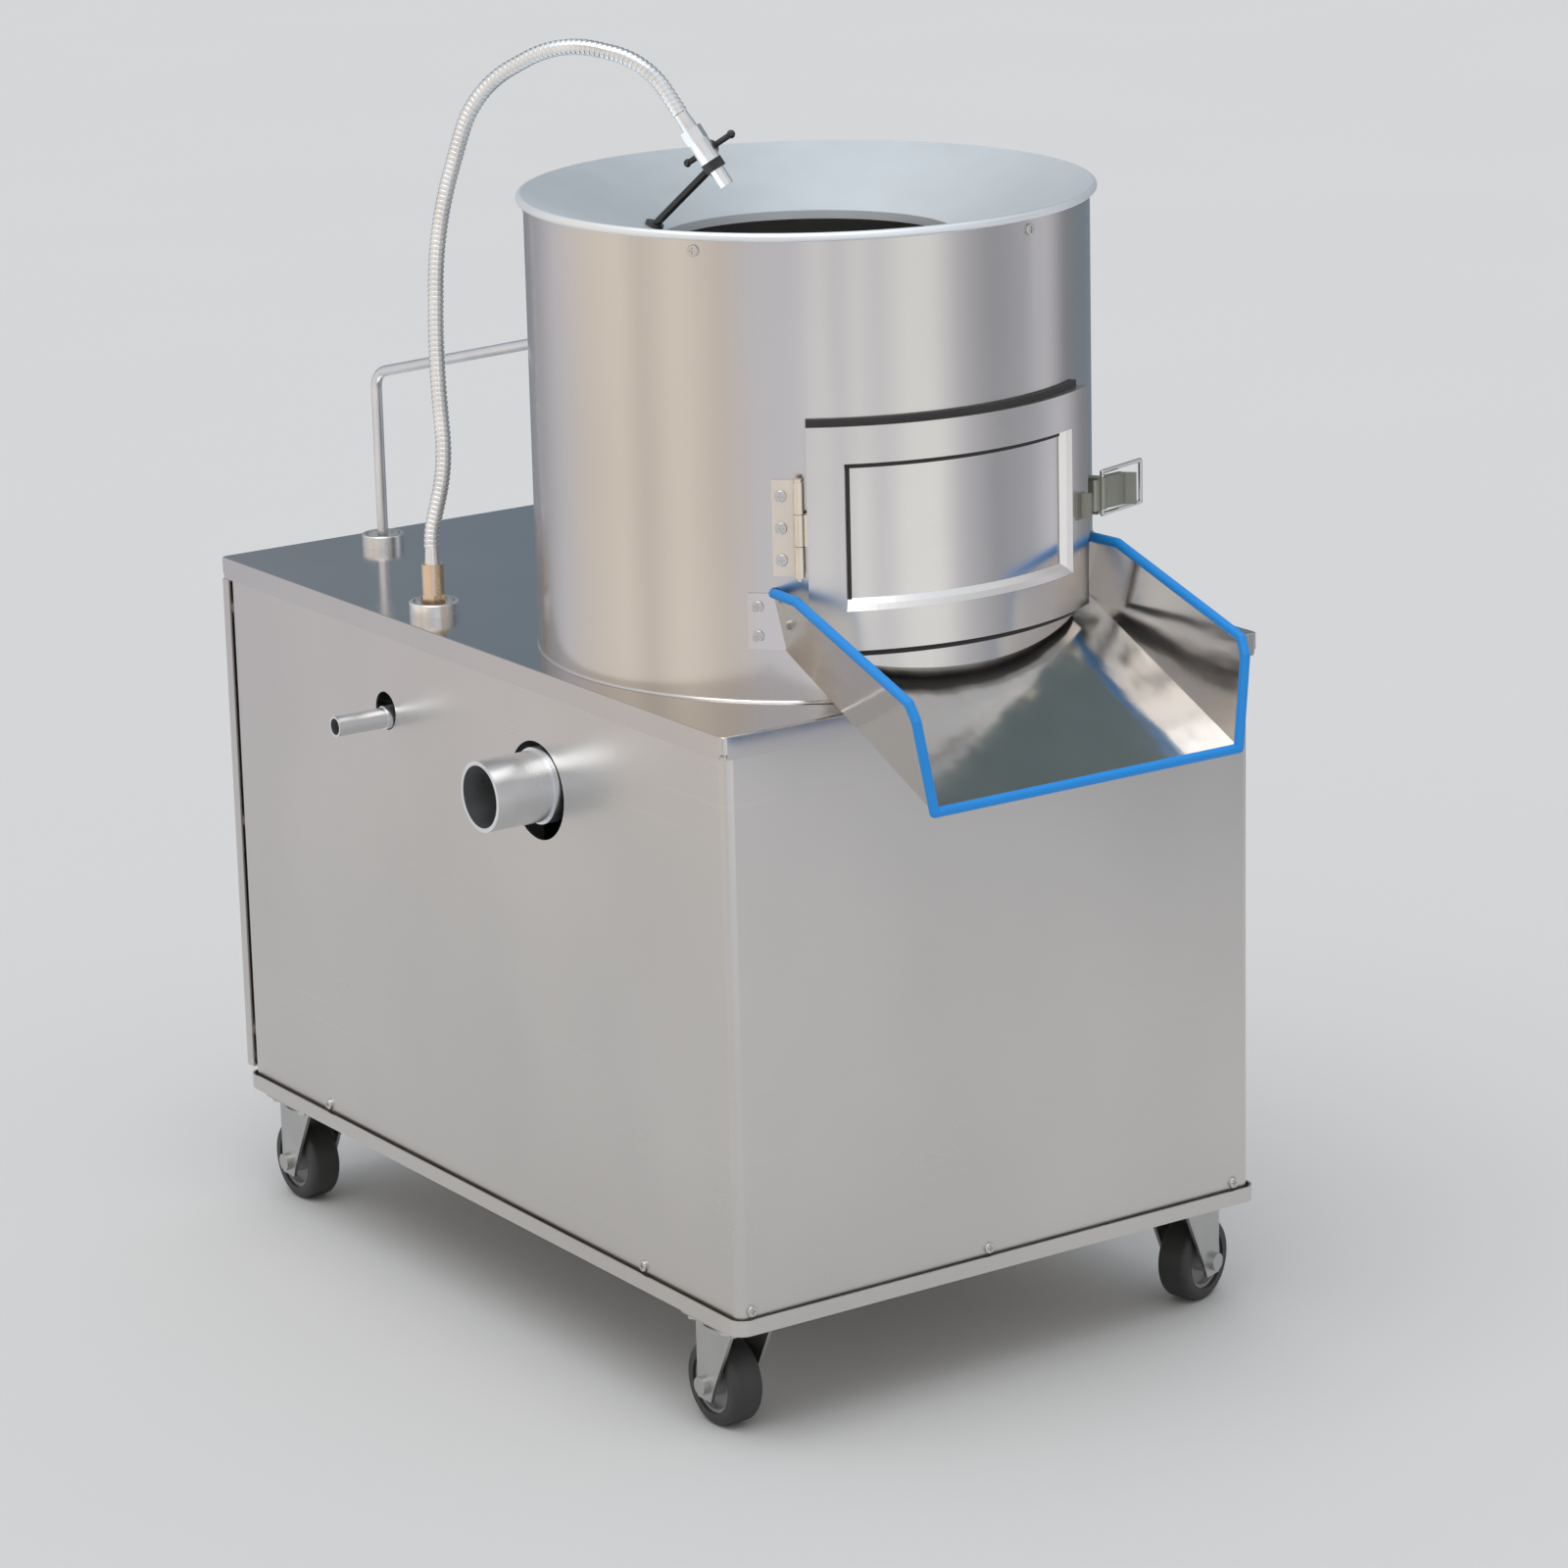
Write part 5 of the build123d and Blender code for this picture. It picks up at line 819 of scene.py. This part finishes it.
    @staticmethod
    def screen(name, cloth, radius, low, high, sweep, steps=96):
        """An upright cloth bent round the machine from +X on, seen only in reflections."""
        cloth.cycles.emission_sampling = "NONE"
        turns = [sweep * step / steps for step in range(steps + 1)]
        vertices = [(radius * cos(turn), radius * sin(turn), height)
                    for height in (low, high) for turn in turns]
        faces = [(step, step + 1, steps + step + 2, steps + step + 1) for step in range(steps)]
        data = bpy.data.meshes.new(name)
        data.from_pydata(vertices, [], faces)
        data.materials.append(cloth)
        screen = bpy.data.objects.new(name, data)
        screen.visible_camera = screen.visible_diffuse = screen.visible_shadow = False
        screen.visible_transmission = screen.visible_volume_scatter = False
        bpy.context.scene.collection.objects.link(screen)

    @staticmethod
    def lamp(stage):
        """One far soft lamp, high at the left."""
        aim, warm_white = Vector((0.55, 0.35, -1.6)), (1.0, 0.97, 0.93)
        data = bpy.data.lights.new("main_lamp", "SUN")
        data.energy, data.angle, data.color = stage.lamp_strength, stage.lamp_spread, warm_white
        lamp = bpy.data.objects.new("main_lamp", data)
        lamp.location = aim * -2
        lamp.rotation_euler = aim.to_track_quat("-Z", "Y").to_euler()
        bpy.context.scene.collection.objects.link(lamp)

    @staticmethod
    def camera(scene, stage):
        """The photograph's camera, by its heading, height angle, tilt and distance from its target."""
        azimuth, elevation, roll = stage.camera_azimuth, stage.camera_elevation, stage.camera_roll
        back = Vector((sin(azimuth) * cos(elevation), -cos(azimuth) * cos(elevation), sin(elevation)))
        level = Vector((0, 0, 1)).cross(back).normalized()
        upright = back.cross(level)
        across = level * cos(roll) + upright * sin(roll)
        upward = upright * cos(roll) - level * sin(roll)
        data = bpy.data.cameras.new("photo_camera")
        data.sensor_fit, data.sensor_width, data.lens = "HORIZONTAL", 36, stage.camera_lens
        data.clip_end = 100
        camera = bpy.data.objects.new("photo_camera", data)
        turn = Matrix((across, upward, back)).transposed().to_4x4()
        place = Vector(stage.camera_target) + back * stage.camera_distance
        camera.matrix_world = Matrix.Translation(place) @ turn
        scene.collection.objects.link(camera)
        scene.camera = camera
        scene.view_settings.view_transform = "Standard"


piece_operators = (
    PEELER_OT_cabinet, PEELER_OT_drum, PEELER_OT_door, PEELER_OT_chute, PEELER_OT_water,
    PEELER_OT_running_gear, PEELER_OT_fasteners, PEELER_OT_controls, PEELER_OT_casters, PEELER_OT_stage,
)


class PEELER_PT_panel(bpy.types.Panel):
    """Lists the machine's pieces and their settings"""
    bl_idname = "PEELER_PT_panel"
    bl_label = "Potato peeling machine"
    bl_space_type = "VIEW_3D"
    bl_region_type = "UI"
    bl_category = "Peeler"

    def draw(self, context):
        column = self.layout.column()
        for operator in piece_operators:
            column.operator(operator.bl_idname)
        for name in setting_groups:
            group = getattr(context.scene, name)
            box = column.box()
            for key in group.bl_rna.properties.keys():
                if key not in ("rna_type", "name"):
                    box.prop(group, key)


setting_groups = {
    "peeler_steel": SteelSettings, "peeler_trim": TrimSettings, "peeler_door": DoorSettings,
    "peeler_bead": BeadSettings, "peeler_stage": StageSettings,
}
classes = (*setting_groups.values(), *piece_operators, PEELER_PT_panel)


def register():
    for item in classes:
        bpy.utils.register_class(item)
    for name, group in setting_groups.items():
        setattr(bpy.types.Scene, name, PointerProperty(type=group))


def unregister():
    for name in setting_groups:
        delattr(bpy.types.Scene, name)
    for item in reversed(classes):
        bpy.utils.unregister_class(item)


def main():
    register()
    for operator in piece_operators:
        group, name = operator.bl_idname.split(".")
        getattr(getattr(bpy.ops, group), name)()


if __name__ == "__main__":
    main()
